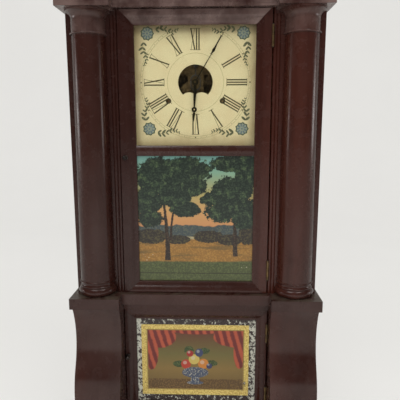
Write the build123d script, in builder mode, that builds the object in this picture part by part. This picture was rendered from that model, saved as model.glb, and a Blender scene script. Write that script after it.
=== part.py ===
from build123d import *
import os
from math import asin, atan2, cos, degrees, hypot, pi, radians, sin, sqrt, tan

# Weight-driven shelf clock. Millimetres, +Z up, front towards -Y.
# It is drawn with y = 0 at the case's front plane and moved back at the end,
# so that the origin lies under the middle of its bounding box.

# Heights, from the floor up
plinth_height = 30
pilaster_height = 240
shelf_thickness = 20
column_height = 503
frieze_height = 28
crown_height = 39

# Case
case_width = 446
case_depth = 102
side_thickness = 12
back_thickness = 8
back_plank_gap = 0.5
back_planks = 3
stile_thickness = 14
top_board_thickness = 12
bottom_board_thickness = 12
bottom_board_height = 8

# Corner blocks of the plinth, the shelf and the cornice
block_width = 90.9
block_overhang = 5.5
block_reach = 40.5
centre_recess = 26
cornice_centre_lift = 3.5
plinth_reach = 56.5
plinth_centre_reach = 30
crown_reach = 24
crown_inset = 12
crown_step = 2.5
crown_cap = 9
crown_cove_middle = (0.31, 0.66)

# Half columns
column_side_gap = 39.6
shaft_base_radius = 32.2
shaft_top_radius = 29.4
column_base_height = 28.2
torus_radius = 36.2
torus_height = 17
torus_bulge = 5.5
base_step = 2.4
base_step_height = 1.5
base_cove = 0.8
base_ring_radius = 33.8
base_ring_height = 3.2
base_ring_bulge = 2.1
shaft_step = 0.4
capital_height = 40.5
capital_radius = 39.3
capital_lip = 3
capital_cove_height = 14.5
capital_ring_height = 3
capital_ring_radius = 32.2
capital_cove_middle = (0.24, 0.68)
column_bead_gap = 0.4

# Scroll pilasters
pilaster_side_gap = 0.4
scroll_foot_height = 16
scroll_depth = 13

# Upper door and its opening
gap = 1
bead_width = 12.5
bead_reach = 2.5
bead_quirk = 0.6
upper_hinge_gap = 2
upper_stile_width = 26.6
upper_top_rail = 24.5
upper_mid_rail = 18.8
upper_bottom_rail = 19.8
dial_opening_height = 206
upper_front = -4
upper_sight = 2.4
upper_glass = 6
upper_moulding = 18.5
mid_rail_crown = 3

# Lower door and its opening
lower_stile_width = 19.9
lower_hinge_gap = 2
lower_top_rail = 22
lower_bottom_rail = 23
lower_rail_height = 15.5
base_rail_height = 33
lower_front = 3
lower_sight = 9.5
lower_glass = 12.5
lower_thickness = 17
lower_moulding = 15

# Glass in its rabbet
rabbet = 5
glass_thickness = 2
glass_clearance = 0.5
glass_bead = 4

# Hinges
hinge_height = 36
barrel_radius = 2.1
pin_radius = 1
running_clearance = 0.05
leaf_thickness = 0.8
leaf_depth = 12
barrel_gap = 0.3
pin_head = 1
pin_head_step = 0.5
hinge_inset = 45

# Latches: a turned knob, its spindle through the stile and a tongue behind it
knob_radius = 4.4
knob_base_radius = 4
knob_base_height = 1.6
knob_neck_radius = 2.2
knob_neck_height = 4.6
knob_face_radius = 1.8
knob_length = 13
spindle_radius = 1.6
tongue_thickness = 1.8
tongue_width = 7
tongue_length = 16
latch_clearance = 0.2
upper_knob_inset = 8.8
upper_knob_drop = 2.2
lower_knob_inset = 4.8
lower_knob_rise = 13.75

# Dial
dial_drop = 116.5
dial_front = 20
dial_thickness = 1.2
dial_side_gap = 7.3
dial_below_centre = 118
dial_cutout_radius = 31
cutout_foot = 22.3
cutout_scallop = 4.2
winding_spread = 48.7
winding_drop = 32.5
winding_hole_radius = 5
cleat_overlap = 7
cleat_grip = 12
cleat_foot = 4

# Hands
hand_thickness = 0.8
minute_front = 12.2
minute_length = 97
minute_hub_radius = 4.2
minute_arm_width = 2.4
minute_neck_width = 1.2
minute_spade_start = 57
minute_spade_width = 5.2
minute_spade_length = 17
minute_tip_width = 0.6
minute_angle = 31
hour_front = 15.2
hour_length = 69
hour_hub_radius = 5.6
hour_arm_width = 6
hour_arm_waist = 24
hour_neck_width = 2
hour_ring_distance = 47.8
hour_ring_radius = 4.7
hour_ring_hole = 1.3
hour_leaf_width = 4.2
hour_angle = 182.5
collet_height = 1.2
collet_wall = 1.2

# Movement plates, seen from the front
plate_half_width = 62
plate_above = 68
plate_below = 66
plate_thickness = 1.8
front_plate = 34
back_plate = 70
plate_rounding = 6
pillar_radius = 3
upper_pillar_x = 55
upper_pillar_drop = 7
lower_pillar_x = 20
lower_pillar_rise = 7
strap_half_width = 14.5
window_width = 18
window_low = -42
window_high = 15
window_rounding = 3
mount_half_height = 45
mount_recess = 6
mount_recess_margin = 2
pivot_radius = 1.2
pivot_reach = 0.6

# Trains
train_module = 0.8
main_module = 0.9
main_teeth = 72
second_pinion_teeth = 8
wheel_teeth = 60
small_pinion_teeth = 7
second_angle = 100
escape_height = 34
escape_teeth = 30
escape_radius = 17
escape_tooth_depth = 3.2
escape_bore = 3.4
tooth_root = 1.2
tooth_tip = 0.9
tooth_root_share = 0.26
tooth_tip_share = 0.1
crossings = 5
rim_width = 2.2
hub_share = 0.28
wheel_thickness = 1.4
pinion_length = 3.5
main_wheel_at = 38
drum_start = 42
drum_length = 20
drum_radius = 9
drum_flange_radius = 12.5
drum_flange = 1.5
drum_arbor_radius = 2.2
ratchet_radius = 14
ratchet_teeth = 24
ratchet_depth = 1.6
ratchet_gap = 0.4
arbor_collar_radius = 3.6
arbor_collar_gap = 0.3
winding_square = 3.2
winding_square_end = 23
second_wheel_at = 64
third_wheel_at = 46
escape_wheel_at = 50
fly_start = 44
fly_length = 14
fly_radius = 10
fly_vane = 0.7
fly_hub_radius = 2
fly_angle = 60
lifting_pins = 8
lifting_pin_radius = 0.7
lifting_pin_length = 4

# Motion work behind the dial
cannon_module = 0.75
cannon_teeth = 12
minute_wheel_teeth = 36
hour_module = 0.72
minute_pinion_teeth = 10
hour_wheel_teeth = 40
cannon_at = 31
cannon_thickness = 2
hour_wheel_at = 28.7
minute_wheel_gap = 0.3
minute_stud_radius = 1.3
minute_stud_reach = 1.5
hour_pipe_radius = 3.1
cannon_pipe_radius = 1.9
motion_angle = 223

# Verge, crutch and pendulum
verge_height = 57
pallet_gap = 1.8
pallet_drop = 10.5
pallet_width = 2
verge_elbow_reach = 11
verge_elbow_drop = 6
verge_depth = 3
crutch_length = 28
crutch_at = 29.2
crutch_thickness = 1.2
crutch_width = 2
crutch_hub_radius = 3
fork_width = 8
fork_height = 3
fork_prong = 1.2
fork_clearance = 0.3
fork_reach = 0.5
rod_at = 26
rod_thickness = 1.6
rod_width = 2.2
bob_radius = 26
bob_thickness = 9
pendulum_length = 290
pendulum_tail = 10
suspension_rise = 8
suspension_post_radius = 1.5
suspension_eye_radius = 3.4
bow_half_height = 14
bow_half_width = 9.5

# Bell and hammer
bell_x = -6
bell_drop = 125
bell_radius = 33
bell_depth = 24
bell_crown_radius = 9
bell_wall = 2
bell_back_gap = 8
bell_post_radius = 2
bell_nut_radius = 4.5
bell_nut_height = 3.5
bell_post_end = 2
hammer_x = -12
hammer_drop = 56
hammer_head_radius = 5
hammer_head_length = 11
hammer_arm_radius = 1.2
hammer_gap = 1.6
hammer_at = 74.5

# Weights, cords and pulleys
weight_side_gap = 11
train_middle = 52
weight_radius = 28
weight_height = 150
weight_rest_height = 26
weight_rounding = 3
weight_hook_height = 14
weight_hook_radius = 2.2
cord_radius = 0.8
cord_clearance = 0.3
pulley_radius = 18
pulley_cord_radius = 15
pulley_width = 7
pulley_edge = 0.8
pulley_pin_overlap = 12
pulley_pin_radius = 1.5
pulley_slot_clearance = 1.5

# Heights and half widths that follow from the sizes above
plinth_top = plinth_height
shelf_bottom = plinth_top + pilaster_height
shelf_top = shelf_bottom + shelf_thickness
cornice_bottom = shelf_top + column_height
frieze_top = cornice_bottom + frieze_height
case_half = case_width / 2
block_outer = case_half + block_overhang
block_inner = block_outer - block_width
inside_half = case_half - side_thickness
front_plane = -(block_reach + crown_reach + case_depth) / 2 + block_reach + crown_reach
dial_height = cornice_bottom - dial_drop
column_x = case_half - column_side_gap
stile_inner = column_x - torus_radius - column_bead_gap
upper_opening_half = stile_inner - bead_width
upper_sight_half = upper_opening_half - upper_hinge_gap - upper_stile_width
lower_sight_half = block_inner - lower_hinge_gap - lower_stile_width
dial_half_width = upper_opening_half - dial_side_gap
weight_x = inside_half - weight_side_gap - weight_radius
back_inner = case_depth - back_thickness
bell_rim_at = back_inner - bell_back_gap


def slab(x0, x1, y0, y1, z0, z1, mode=Mode.ADD):
    """A box between two corners, added to or cut from the part being built."""
    with Locations(((x0 + x1) / 2, (y0 + y1) / 2, (z0 + z1) / 2)):
        Box(abs(x1 - x0), abs(y1 - y0), abs(z1 - z0), mode=mode)


def rod(x, z, radius, y0, y1, mode=Mode.ADD):
    """A round bar that runs from front to back."""
    with Locations(Location((x, (y0 + y1) / 2, z), (90, 0, 0))):
        Cylinder(radius, abs(y1 - y0), mode=mode)


def board(x0, x1, y0, y1, z0, z1):
    with BuildPart() as piece:
        slab(x0, x1, y0, y1, z0, z1)
    return piece.part


def mirrored(shape):
    with BuildPart() as piece:
        mirror(shape, about=Plane.YZ)
    return piece.part


def facing(x, z, y):
    """A sketch plane that faces the front, with its x to the right and its y up."""
    return Plane(origin=(x, y, z), x_dir=(1, 0, 0), z_dir=(0, -1, 0))


pieces = {}

# Case: boards, stiles and rails
side_board = board(inside_half, case_half, stile_thickness, case_depth, 0, frieze_top)
pieces["side_boards"] = [side_board, mirrored(side_board)]

plank_width = (2 * inside_half - (back_planks - 1) * back_plank_gap) / back_planks
pieces["back_boards"] = [
    board(
        -inside_half + index * (plank_width + back_plank_gap),
        -inside_half + index * (plank_width + back_plank_gap) + plank_width,
        back_inner,
        case_depth,
        0,
        frieze_top,
    )
    for index in range(back_planks)
]

top_board_bottom = cornice_bottom + cornice_centre_lift
top_board_top = top_board_bottom + top_board_thickness
pieces["bottom_board"] = [
    board(
        -inside_half,
        inside_half,
        stile_thickness,
        back_inner,
        bottom_board_height,
        bottom_board_height + bottom_board_thickness,
    )
]

front_stile = board(stile_inner, case_half, 0, stile_thickness, 0, frieze_top)
pieces["front_stiles"] = [front_stile, mirrored(front_stile)]

door_top = top_board_bottom - gap
door_bottom = shelf_top + gap
lower_door_top = shelf_bottom - lower_rail_height - gap
lower_door_bottom = base_rail_height + gap
pieces["front_cross_rails"] = [
    board(-stile_inner, stile_inner, 0, stile_thickness, top_board_bottom, frieze_top),
    board(-stile_inner, stile_inner, 0, stile_thickness, lower_door_top + gap, shelf_top),
    board(-stile_inner, stile_inner, 0, stile_thickness, 0, base_rail_height),
]

with BuildPart() as upper_bead:
    reed = bead_width / 2
    with BuildSketch(Plane.XY.offset(shelf_top)):
        with BuildLine():
            for start in (upper_opening_half, upper_opening_half + reed):
                ThreePointArc(
                    (start, -bead_quirk),
                    (start + reed / 2, -bead_reach),
                    (start + reed, -bead_quirk),
                )
            Polyline(
                (stile_inner, -bead_quirk),
                (stile_inner, stile_thickness),
                (upper_opening_half, stile_thickness),
                (upper_opening_half, -bead_quirk),
            )
        make_face()
    extrude(amount=top_board_bottom - shelf_top)
    # Notch for the cornice's corner block and the lip of the capital under it
    slab(
        block_inner,
        stile_inner,
        -bead_reach,
        0,
        cornice_bottom - 2 * capital_lip,
        top_board_bottom,
        Mode.SUBTRACT,
    )
lower_back = lower_front + lower_thickness
lower_bead = board(
    block_inner, stile_inner, 0, lower_back, base_rail_height, lower_door_top + gap
)
pieces["door_bead_strips"] = [
    upper_bead.part,
    mirrored(upper_bead.part),
    lower_bead,
    mirrored(lower_bead),
]


# Breakfront plinth, shelf and frieze: two corner blocks, a centre and two returns
def breakfront(z0, z1, centre_z0, reach, centre_reach, inner):
    block = board(inner, block_outer, -reach, 0, z0, z1)
    side_return = board(case_half, block_outer, 0, case_depth, z0, z1)
    centre = board(-inner, inner, -centre_reach, 0, centre_z0, z1)
    return [centre, block, mirrored(block), side_return, mirrored(side_return)]


centre_reach = block_reach - centre_recess
pieces["base_plinth"] = breakfront(
    0, plinth_top, 0, plinth_reach, plinth_centre_reach, block_inner
)
pieces["mid_shelf"] = breakfront(
    shelf_bottom, shelf_top, shelf_bottom, block_reach, centre_reach, block_inner
)
pieces["cornice_frieze"] = breakfront(
    cornice_bottom,
    frieze_top,
    top_board_bottom,
    block_reach,
    centre_reach,
    block_inner,
)

# Crown moulding: a cove under a flat fillet, mitred at each corner of the frieze
crown_corners = [
    Vector(-block_outer, case_depth),
    Vector(-block_outer, -block_reach),
    Vector(-block_inner, -block_reach),
    Vector(-block_inner, -centre_reach),
    Vector(block_inner, -centre_reach),
    Vector(block_inner, -block_reach),
    Vector(block_outer, -block_reach),
    Vector(block_outer, case_depth),
]
cove_height = crown_height - crown_cap
crown_directions = [
    (end - start).normalized() for start, end in zip(crown_corners, crown_corners[1:])
]


def mitre_plane(index):
    before = crown_directions[max(index - 1, 0)]
    after = crown_directions[min(index, len(crown_directions) - 1)]
    corner = crown_corners[index]
    return Plane(origin=(corner.X, corner.Y, frieze_top), z_dir=before + after)


def crown_run(index):
    start, end = crown_corners[index], crown_corners[index + 1]
    along = crown_directions[index]
    outward = Vector(along.Y, -along.X)
    far = end + along * 2 * crown_reach
    section = Plane(origin=(far.X, far.Y, frieze_top), x_dir=outward, z_dir=-along)
    with BuildPart() as run:
        with BuildSketch(section):
            with BuildLine():
                Polyline((crown_step, crown_step), (crown_step, 0), (-crown_inset, 0))
                Line((-crown_inset, 0), (-crown_inset, crown_height))
                Line((-crown_inset, crown_height), (crown_reach, crown_height))
                Line((crown_reach, crown_height), (crown_reach, cove_height))
                Line((crown_reach, cove_height), (crown_reach - crown_step, cove_height))
                ThreePointArc(
                    (crown_reach - crown_step, cove_height),
                    (crown_cove_middle[0] * crown_reach, crown_cove_middle[1] * cove_height),
                    (crown_step, crown_step),
                )
            make_face()
        extrude(amount=(end - start).length + 4 * crown_reach)
        split(bisect_by=mitre_plane(index), keep=Keep.TOP)
        split(bisect_by=mitre_plane(index + 1), keep=Keep.BOTTOM)
    return run.part


pieces["crown_moulding"] = [crown_run(index) for index in range(len(crown_directions))]


# Half columns: base, tapering shaft and capital, each turned and sawn in half
def half_turning(x, z, outline):
    """Half a turning about a vertical axis in the case's front plane."""
    with BuildPart() as turning:
        with BuildSketch(facing(x, z, 0)):
            with BuildLine():
                outline()
            make_face()
        revolve(axis=Axis((x, 0, 0), (0, 0, -1)), revolution_arc=180)
    return turning.part


def base_outline():
    waist = torus_radius - torus_bulge
    step = waist + base_step
    step_top = torus_height + base_step_height
    ring_bottom = column_base_height - base_ring_height
    ring_inner = base_ring_radius - base_ring_bulge
    Line((0, 0), (waist, 0))
    ThreePointArc((waist, 0), (torus_radius, torus_height / 2), (waist, torus_height))
    Polyline((waist, torus_height), (step, torus_height), (step, step_top))
    ThreePointArc(
        (step, step_top),
        (waist + base_cove, (step_top + ring_bottom) / 2),
        (ring_inner, ring_bottom),
    )
    ThreePointArc(
        (ring_inner, ring_bottom),
        (base_ring_radius, (ring_bottom + column_base_height) / 2),
        (ring_inner, column_base_height),
    )
    Polyline((ring_inner, column_base_height), (0, column_base_height), (0, 0))


shaft_height = column_height - column_base_height - capital_height


def shaft_outline():
    Polyline(
        (0, 0),
        (shaft_base_radius, 0),
        (shaft_top_radius, shaft_height),
        (0, shaft_height),
        (0, 0),
    )


def capital_outline():
    cove_top = capital_height - capital_lip
    cove_bottom = cove_top - capital_cove_height
    ring_inner = shaft_top_radius + shaft_step
    Line((0, 0), (ring_inner, 0))
    ThreePointArc(
        (ring_inner, 0),
        (capital_ring_radius, capital_ring_height / 2),
        (ring_inner, capital_ring_height),
    )
    Line((ring_inner, capital_ring_height), (ring_inner, cove_bottom))
    ThreePointArc(
        (ring_inner, cove_bottom),
        (
            ring_inner + capital_cove_middle[0] * (capital_radius - ring_inner),
            cove_bottom + capital_cove_middle[1] * capital_cove_height,
        ),
        (capital_radius, cove_top),
    )
    Polyline(
        (capital_radius, cove_top),
        (capital_radius, capital_height),
        (0, capital_height),
        (0, 0),
    )


right_column = [
    half_turning(column_x, shelf_top, base_outline),
    half_turning(column_x, shelf_top + column_base_height, shaft_outline),
    half_turning(column_x, cornice_bottom - capital_height, capital_outline),
]
pieces["right_column"] = right_column
pieces["left_column"] = [mirrored(turning) for turning in right_column]

# Scroll pilasters: hollow above, swelling below, on a short foot
scroll_bottom = plinth_top + scroll_foot_height
scroll_middle = (scroll_bottom + shelf_bottom) / 2
scroll_quarter = (shelf_bottom - scroll_middle) / 2
pilaster_outer = case_half - pilaster_side_gap
with BuildPart() as right_pilaster:
    with BuildSketch(Plane.YZ.offset(block_inner)):
        with BuildLine():
            Polyline((0, shelf_bottom), (0, plinth_top), (-block_reach, plinth_top))
            Line((-block_reach, plinth_top), (-block_reach, scroll_bottom))
            ThreePointArc(
                (-block_reach, scroll_bottom),
                (-block_reach - scroll_depth, scroll_bottom + scroll_quarter),
                (-block_reach, scroll_middle),
            )
            ThreePointArc(
                (-block_reach, scroll_middle),
                (-block_reach + scroll_depth, scroll_middle + scroll_quarter),
                (-block_reach, shelf_bottom),
            )
            Line((-block_reach, shelf_bottom), (0, shelf_bottom))
        make_face()
    extrude(amount=pilaster_outer - block_inner)
pieces["right_scroll_pilaster"] = [right_pilaster.part]
pieces["left_scroll_pilaster"] = [mirrored(right_pilaster.part)]


# Door frames: moulded stiles and rails, mitred at the corners, rabbeted for the glass
class DoorFrame:
    """The outer edges, sight edges and section of one door."""

    def __init__(self, left, right, bottom, top, sight_half, sight_bottom, sight_top, levels):
        self.left, self.right, self.bottom, self.top = left, right, bottom, top
        self.sight_half = sight_half
        self.sight_bottom = sight_bottom
        self.sight_top = sight_top
        self.front, self.sight, self.glass, self.back, self.moulding = levels

    def member(self, middle, outward, width, length):
        """A moulded bar whose sight edge passes through its middle."""
        outward = Vector(*outward)
        section = Plane(origin=middle, x_dir=outward, z_dir=outward.cross(Vector(0, 1, 0)))
        halfway = (self.moulding / 2, (self.front + self.sight) / 2)
        with BuildPart() as bar:
            with BuildSketch(section):
                with BuildLine():
                    Polyline((0, self.sight), (0, self.glass), (rabbet, self.glass))
                    Polyline((rabbet, self.glass), (rabbet, self.back), (width, self.back))
                    Polyline((width, self.back), (width, self.front), (self.moulding, self.front))
                    TangentArc((self.moulding, self.front), halfway, tangent=(-1, 0))
                    TangentArc((0, self.sight), halfway, tangent=(1, 0))
                make_face()
            extrude(amount=length / 2, both=True)
        return bar

    def mitre(self, side, height):
        """The plane of one corner's mitre: the stile lies above it, the rail below."""
        z = self.sight_top if height > 0 else self.sight_bottom
        return Plane(origin=(side * self.sight_half, 0, z), z_dir=(side, 0, -height))

    def stile(self, side):
        outer = self.right if side > 0 else self.left
        middle = (side * self.sight_half, 0, (self.bottom + self.top) / 2)
        width = abs(outer) - self.sight_half
        with self.member(middle, (side, 0, 0), width, self.top - self.bottom) as bar:
            split(bisect_by=self.mitre(side, 1), keep=Keep.TOP)
            split(bisect_by=self.mitre(side, -1), keep=Keep.TOP)
        return bar.part

    def rail(self, height):
        z = self.sight_top if height > 0 else self.sight_bottom
        width = self.top - z if height > 0 else z - self.bottom
        middle = ((self.left + self.right) / 2, 0, z)
        with self.member(middle, (0, 0, height), width, self.right - self.left) as bar:
            split(bisect_by=self.mitre(1, height), keep=Keep.BOTTOM)
            split(bisect_by=self.mitre(-1, height), keep=Keep.BOTTOM)
        return bar.part

    def pane(self, sight_bottom, sight_top):
        half = self.sight_half + rabbet - glass_clearance
        over = rabbet - glass_clearance
        glass_back = self.glass + glass_thickness
        return board(
            -half, half, self.glass, glass_back, sight_bottom - over, sight_top + over
        )

    def glass_strips(self, sight_bottom, sight_top):
        """Four strips behind a pane that hold it in its rabbet."""
        half = self.sight_half + rabbet
        low, high = sight_bottom - rabbet, sight_top + rabbet
        near = self.glass + glass_thickness
        far = near + glass_bead
        level = board(-half, half, near, far, low, low + glass_bead)
        upright = board(half - glass_bead, half, near, far, low + glass_bead, high - glass_bead)
        raised = board(-half, half, near, far, high - glass_bead, high)
        return [level, raised, upright, mirrored(upright)]


# Upper door
upper = DoorFrame(
    left=-(upper_opening_half - gap),
    right=upper_opening_half - upper_hinge_gap,
    bottom=door_bottom,
    top=door_top,
    sight_half=upper_sight_half,
    sight_bottom=door_bottom + upper_bottom_rail,
    sight_top=door_top - upper_top_rail,
    levels=(upper_front, upper_sight, upper_glass, stile_thickness, upper_moulding),
)
dial_sight_bottom = upper.sight_top - dial_opening_height
tablet_sight_top = dial_sight_bottom - upper_mid_rail
mid_rail_height = (dial_sight_bottom + tablet_sight_top) / 2

latch_hole_radius = spindle_radius + running_clearance
upper_knob_x = upper.left + upper_knob_inset
upper_knob_height = tablet_sight_top - upper_knob_drop
with BuildPart() as upper_left_stile:
    add(upper.stile(-1))
    rod(
        upper_knob_x,
        upper_knob_height,
        latch_hole_radius,
        2 * upper_front,
        2 * stile_thickness,
        Mode.SUBTRACT,
    )
pieces["upper_door_stiles"] = [upper_left_stile.part, upper.stile(1)]

with BuildPart() as mid_rail:
    half = upper_mid_rail / 2
    with BuildSketch(
        Plane(origin=(-upper_sight_half, 0, mid_rail_height), x_dir=(0, 0, -1), z_dir=(1, 0, 0))
    ):
        with BuildLine():
            Polyline((-half, upper_sight), (-half, upper_glass), (half, upper_glass))
            Line((half, upper_glass), (half, upper_sight))
            ThreePointArc((half, upper_sight), (0, upper_sight - mid_rail_crown), (-half, upper_sight))
        make_face()
    extrude(amount=2 * upper_sight_half)
    slab(
        -upper_sight_half - rabbet,
        upper_sight_half + rabbet,
        upper_glass,
        stile_thickness,
        tablet_sight_top + rabbet,
        dial_sight_bottom - rabbet,
    )
pieces["upper_door_rails"] = [upper.rail(1), mid_rail.part, upper.rail(-1)]
pieces["dial_glass"] = [upper.pane(dial_sight_bottom, upper.sight_top)]
pieces["tablet_glass"] = [upper.pane(upper.sight_bottom, tablet_sight_top)]
pieces["upper_glass_beads"] = upper.glass_strips(
    dial_sight_bottom, upper.sight_top
) + upper.glass_strips(upper.sight_bottom, tablet_sight_top)

# Lower door
lower = DoorFrame(
    left=-(block_inner - gap),
    right=block_inner - lower_hinge_gap,
    bottom=lower_door_bottom,
    top=lower_door_top,
    sight_half=lower_sight_half,
    sight_bottom=lower_door_bottom + lower_bottom_rail,
    sight_top=lower_door_top - lower_top_rail,
    levels=(lower_front, lower_sight, lower_glass, lower_back, lower_moulding),
)
lower_knob_x = lower.left + lower_knob_inset
lower_knob_height = (lower.sight_bottom + lower.sight_top) / 2 + lower_knob_rise
with BuildPart() as lower_left_stile:
    add(lower.stile(-1))
    rod(
        lower_knob_x,
        lower_knob_height,
        latch_hole_radius,
        -lower_back,
        2 * lower_back,
        Mode.SUBTRACT,
    )
pieces["lower_door_stiles"] = [lower_left_stile.part, lower.stile(1)]
pieces["lower_door_rails"] = [lower.rail(1), lower.rail(-1)]
pieces["lower_tablet_glass"] = [lower.pane(lower.sight_bottom, lower.sight_top)]
pieces["lower_glass_beads"] = lower.glass_strips(lower.sight_bottom, lower.sight_top)


# Butt hinges on the right: a case leaf with the outer barrels, a door leaf with the middle one
def hinge(axis_x, axis_y, case_face, door_face, height):
    """Case leaf, door leaf and pin of one hinge."""
    third = hinge_height / 6
    leaf_front = axis_y + barrel_radius + barrel_gap

    def leaf(x0, x1, bore_radius, barrels):
        with BuildPart() as part:
            slab(
                x0,
                x1,
                leaf_front,
                leaf_front + leaf_depth,
                height - hinge_height / 2,
                height + hinge_height / 2,
            )
            for low, high in barrels:
                slab(x0, x1, axis_y, leaf_front, height + low, height + high)
                with Locations((axis_x, axis_y, height + (low + high) / 2)):
                    Cylinder(barrel_radius, high - low)
            with Locations((axis_x, axis_y, height)):
                Cylinder(bore_radius, 2 * hinge_height, mode=Mode.SUBTRACT)
        return part.part

    half_gap = barrel_gap / 2
    outer_barrels = [
        (-hinge_height / 2, -third - half_gap),
        (third + half_gap, hinge_height / 2),
    ]
    case_leaf = leaf(case_face - leaf_thickness, case_face, pin_radius, outer_barrels)
    door_leaf = leaf(
        door_face,
        door_face + leaf_thickness,
        pin_radius + running_clearance,
        [(-third + half_gap, third - half_gap)],
    )
    with BuildPart() as pin:
        with Locations((axis_x, axis_y, height)):
            Cylinder(pin_radius, hinge_height)
        for end in (-1, 1):
            with Locations((axis_x, axis_y, height + end * (hinge_height + pin_head) / 2)):
                Cylinder(barrel_radius - pin_head_step, pin_head)
    return case_leaf, door_leaf, pin.part


upper_axis_x = upper_opening_half - upper_hinge_gap / 2
upper_axis_y = upper_front - barrel_radius - latch_clearance
lower_axis_x = block_inner - barrel_gap - barrel_radius
lower_axis_y = lower_front - barrel_radius - barrel_gap
upper_hinges = [
    hinge(upper_axis_x, upper_axis_y, upper_opening_half, upper.right, height)
    for height in (door_bottom + hinge_inset, door_top - hinge_inset)
]
lower_hinges = [
    hinge(lower_axis_x, lower_axis_y, block_inner, lower.right, height)
    for height in (lower_door_bottom + hinge_inset, lower_door_top - hinge_inset)
]
pieces["case_hinge_leaves"] = [leaves[0] for leaves in upper_hinges + lower_hinges]
pieces["hinge_pins"] = [leaves[2] for leaves in upper_hinges + lower_hinges]
pieces["upper_door_hinge_leaves"] = [leaves[1] for leaves in upper_hinges]
pieces["lower_door_hinge_leaves"] = [leaves[1] for leaves in lower_hinges]


# Latches, stored with the tongue upright, clear of the bead strip
def latch(x, z, front, back):
    shoulder = front - latch_clearance
    neck = (knob_neck_radius, -knob_neck_height)
    face = (knob_face_radius, -knob_length)
    with BuildPart() as part:
        with BuildSketch(Plane(origin=(x, shoulder, z), x_dir=(1, 0, 0), z_dir=(0, 0, 1))):
            with BuildLine():
                Polyline(
                    (0, 0),
                    (knob_base_radius, 0),
                    (knob_base_radius, -knob_base_height),
                    (knob_neck_radius, -2 * knob_base_height),
                    neck,
                )
                ThreePointArc(neck, (knob_radius, -(knob_neck_height + knob_length) / 2), face)
                Polyline(face, (0, -knob_length), (0, 0))
            make_face()
        revolve(axis=Axis((x, shoulder, z), (0, 1, 0)))
        tongue_front = back + latch_clearance
        rod(x, z, spindle_radius, shoulder, tongue_front)
        with BuildSketch(facing(x, z, tongue_front + tongue_thickness)):
            with Locations((0, (tongue_length - tongue_width / 2) / 2)):
                SlotOverall(tongue_length + tongue_width / 2, tongue_width, rotation=90)
        extrude(amount=tongue_thickness)
    return part.part


pieces["upper_latch"] = [latch(upper_knob_x, upper_knob_height, upper_front, stile_thickness)]
pieces["lower_latch"] = [latch(lower_knob_x, lower_knob_height, lower_front, lower_back)]

# Dial with its cut-out and winding holes, against the back of two cleats
dial_top = top_board_bottom - gap
with BuildPart() as dial_plate:
    slab(
        -dial_half_width,
        dial_half_width,
        dial_front,
        dial_front + dial_thickness,
        dial_height - dial_below_centre,
        dial_top,
    )
    foot_drop = sqrt(dial_cutout_radius**2 - cutout_foot**2)
    scallop_top = -foot_drop + cutout_scallop
    with BuildSketch(facing(0, dial_height, dial_front + dial_thickness)):
        with BuildLine():
            ThreePointArc(
                (cutout_foot, -foot_drop), (0, dial_cutout_radius), (-cutout_foot, -foot_drop)
            )
            ThreePointArc(
                (-cutout_foot, -foot_drop), (-cutout_foot / 2, scallop_top), (0, -foot_drop)
            )
            ThreePointArc(
                (0, -foot_drop), (cutout_foot / 2, scallop_top), (cutout_foot, -foot_drop)
            )
        make_face()
        with Locations((-winding_spread, -winding_drop), (winding_spread, -winding_drop)):
            Circle(winding_hole_radius)
    extrude(amount=dial_thickness, mode=Mode.SUBTRACT)
pieces["dial_plate"] = [dial_plate.part]

cleat = board(
    dial_half_width - cleat_overlap,
    stile_inner + cleat_grip,
    stile_thickness,
    dial_front,
    dial_height - dial_below_centre + cleat_foot,
    dial_top,
)
pieces["dial_cleats"] = [cleat, mirrored(cleat)]


# Wheels: flat-sided teeth, one of them centred on the given bearing
def toothed(teeth, module, bearing):
    """Outline points of a wheel; angles in degrees, anticlockwise from the right."""
    pitch_radius = teeth * module / 2
    root, tip = pitch_radius - tooth_root * module, pitch_radius + tooth_tip * module
    pitch_angle = 360 / teeth
    points = []
    for tooth in range(teeth):
        centre = bearing + tooth * pitch_angle
        for radius, share in (
            (root, -tooth_root_share),
            (tip, -tooth_tip_share),
            (tip, tooth_tip_share),
            (root, tooth_root_share),
        ):
            angle = radians(centre + share * pitch_angle)
            points.append((radius * cos(angle), radius * sin(angle)))
    return points


def wheel(place, at, thickness, teeth, module, bearing, bore=0, crossed=False):
    """A wheel whose front face lies at the depth named by at."""
    with BuildPart() as part:
        with BuildSketch(facing(place[0], dial_height + place[1], at + thickness)):
            with BuildLine():
                Polyline(*toothed(teeth, module, bearing), close=True)
            make_face()
            if bore:
                Circle(bore, mode=Mode.SUBTRACT)
            if crossed:
                rim = teeth * module / 2 - tooth_root * module - rim_width
                hub = hub_share * rim
                with PolarLocations((rim + hub) / 2, crossings, start_angle=bearing):
                    SlotOverall(rim - hub, hub_share * 2 * (rim - hub), mode=Mode.SUBTRACT)
        extrude(amount=thickness)
    return part.part


def bearing_to(start, end):
    return degrees(atan2(end[1] - start[1], end[0] - start[0]))


def meshing(follower, leader, teeth):
    """Bearing of a follower's tooth beside the gap that faces the leader's tooth."""
    return bearing_to(follower, leader) + 180 / teeth


# Arbor places on the time side, right of the centre, measured from the dial's centre
drum_place = (winding_spread, -winding_drop)
main_radius = main_module * main_teeth / 2
second_distance = main_radius + main_module * second_pinion_teeth / 2
second_place = (
    drum_place[0] + second_distance * cos(radians(second_angle)),
    drum_place[1] + second_distance * sin(radians(second_angle)),
)
train_distance = train_module * (wheel_teeth + small_pinion_teeth) / 2
escape_place = (0, escape_height)
reach_to_escape = hypot(escape_place[0] - second_place[0], escape_place[1] - second_place[1])
half_reach = reach_to_escape / 2
offset_angle = bearing_to(second_place, escape_place) - degrees(
    atan2(sqrt(train_distance**2 - half_reach**2), half_reach)
)
third_place = (
    second_place[0] + train_distance * cos(radians(offset_angle)),
    second_place[1] + train_distance * sin(radians(offset_angle)),
)
verge_place = (0, verge_height)

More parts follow.
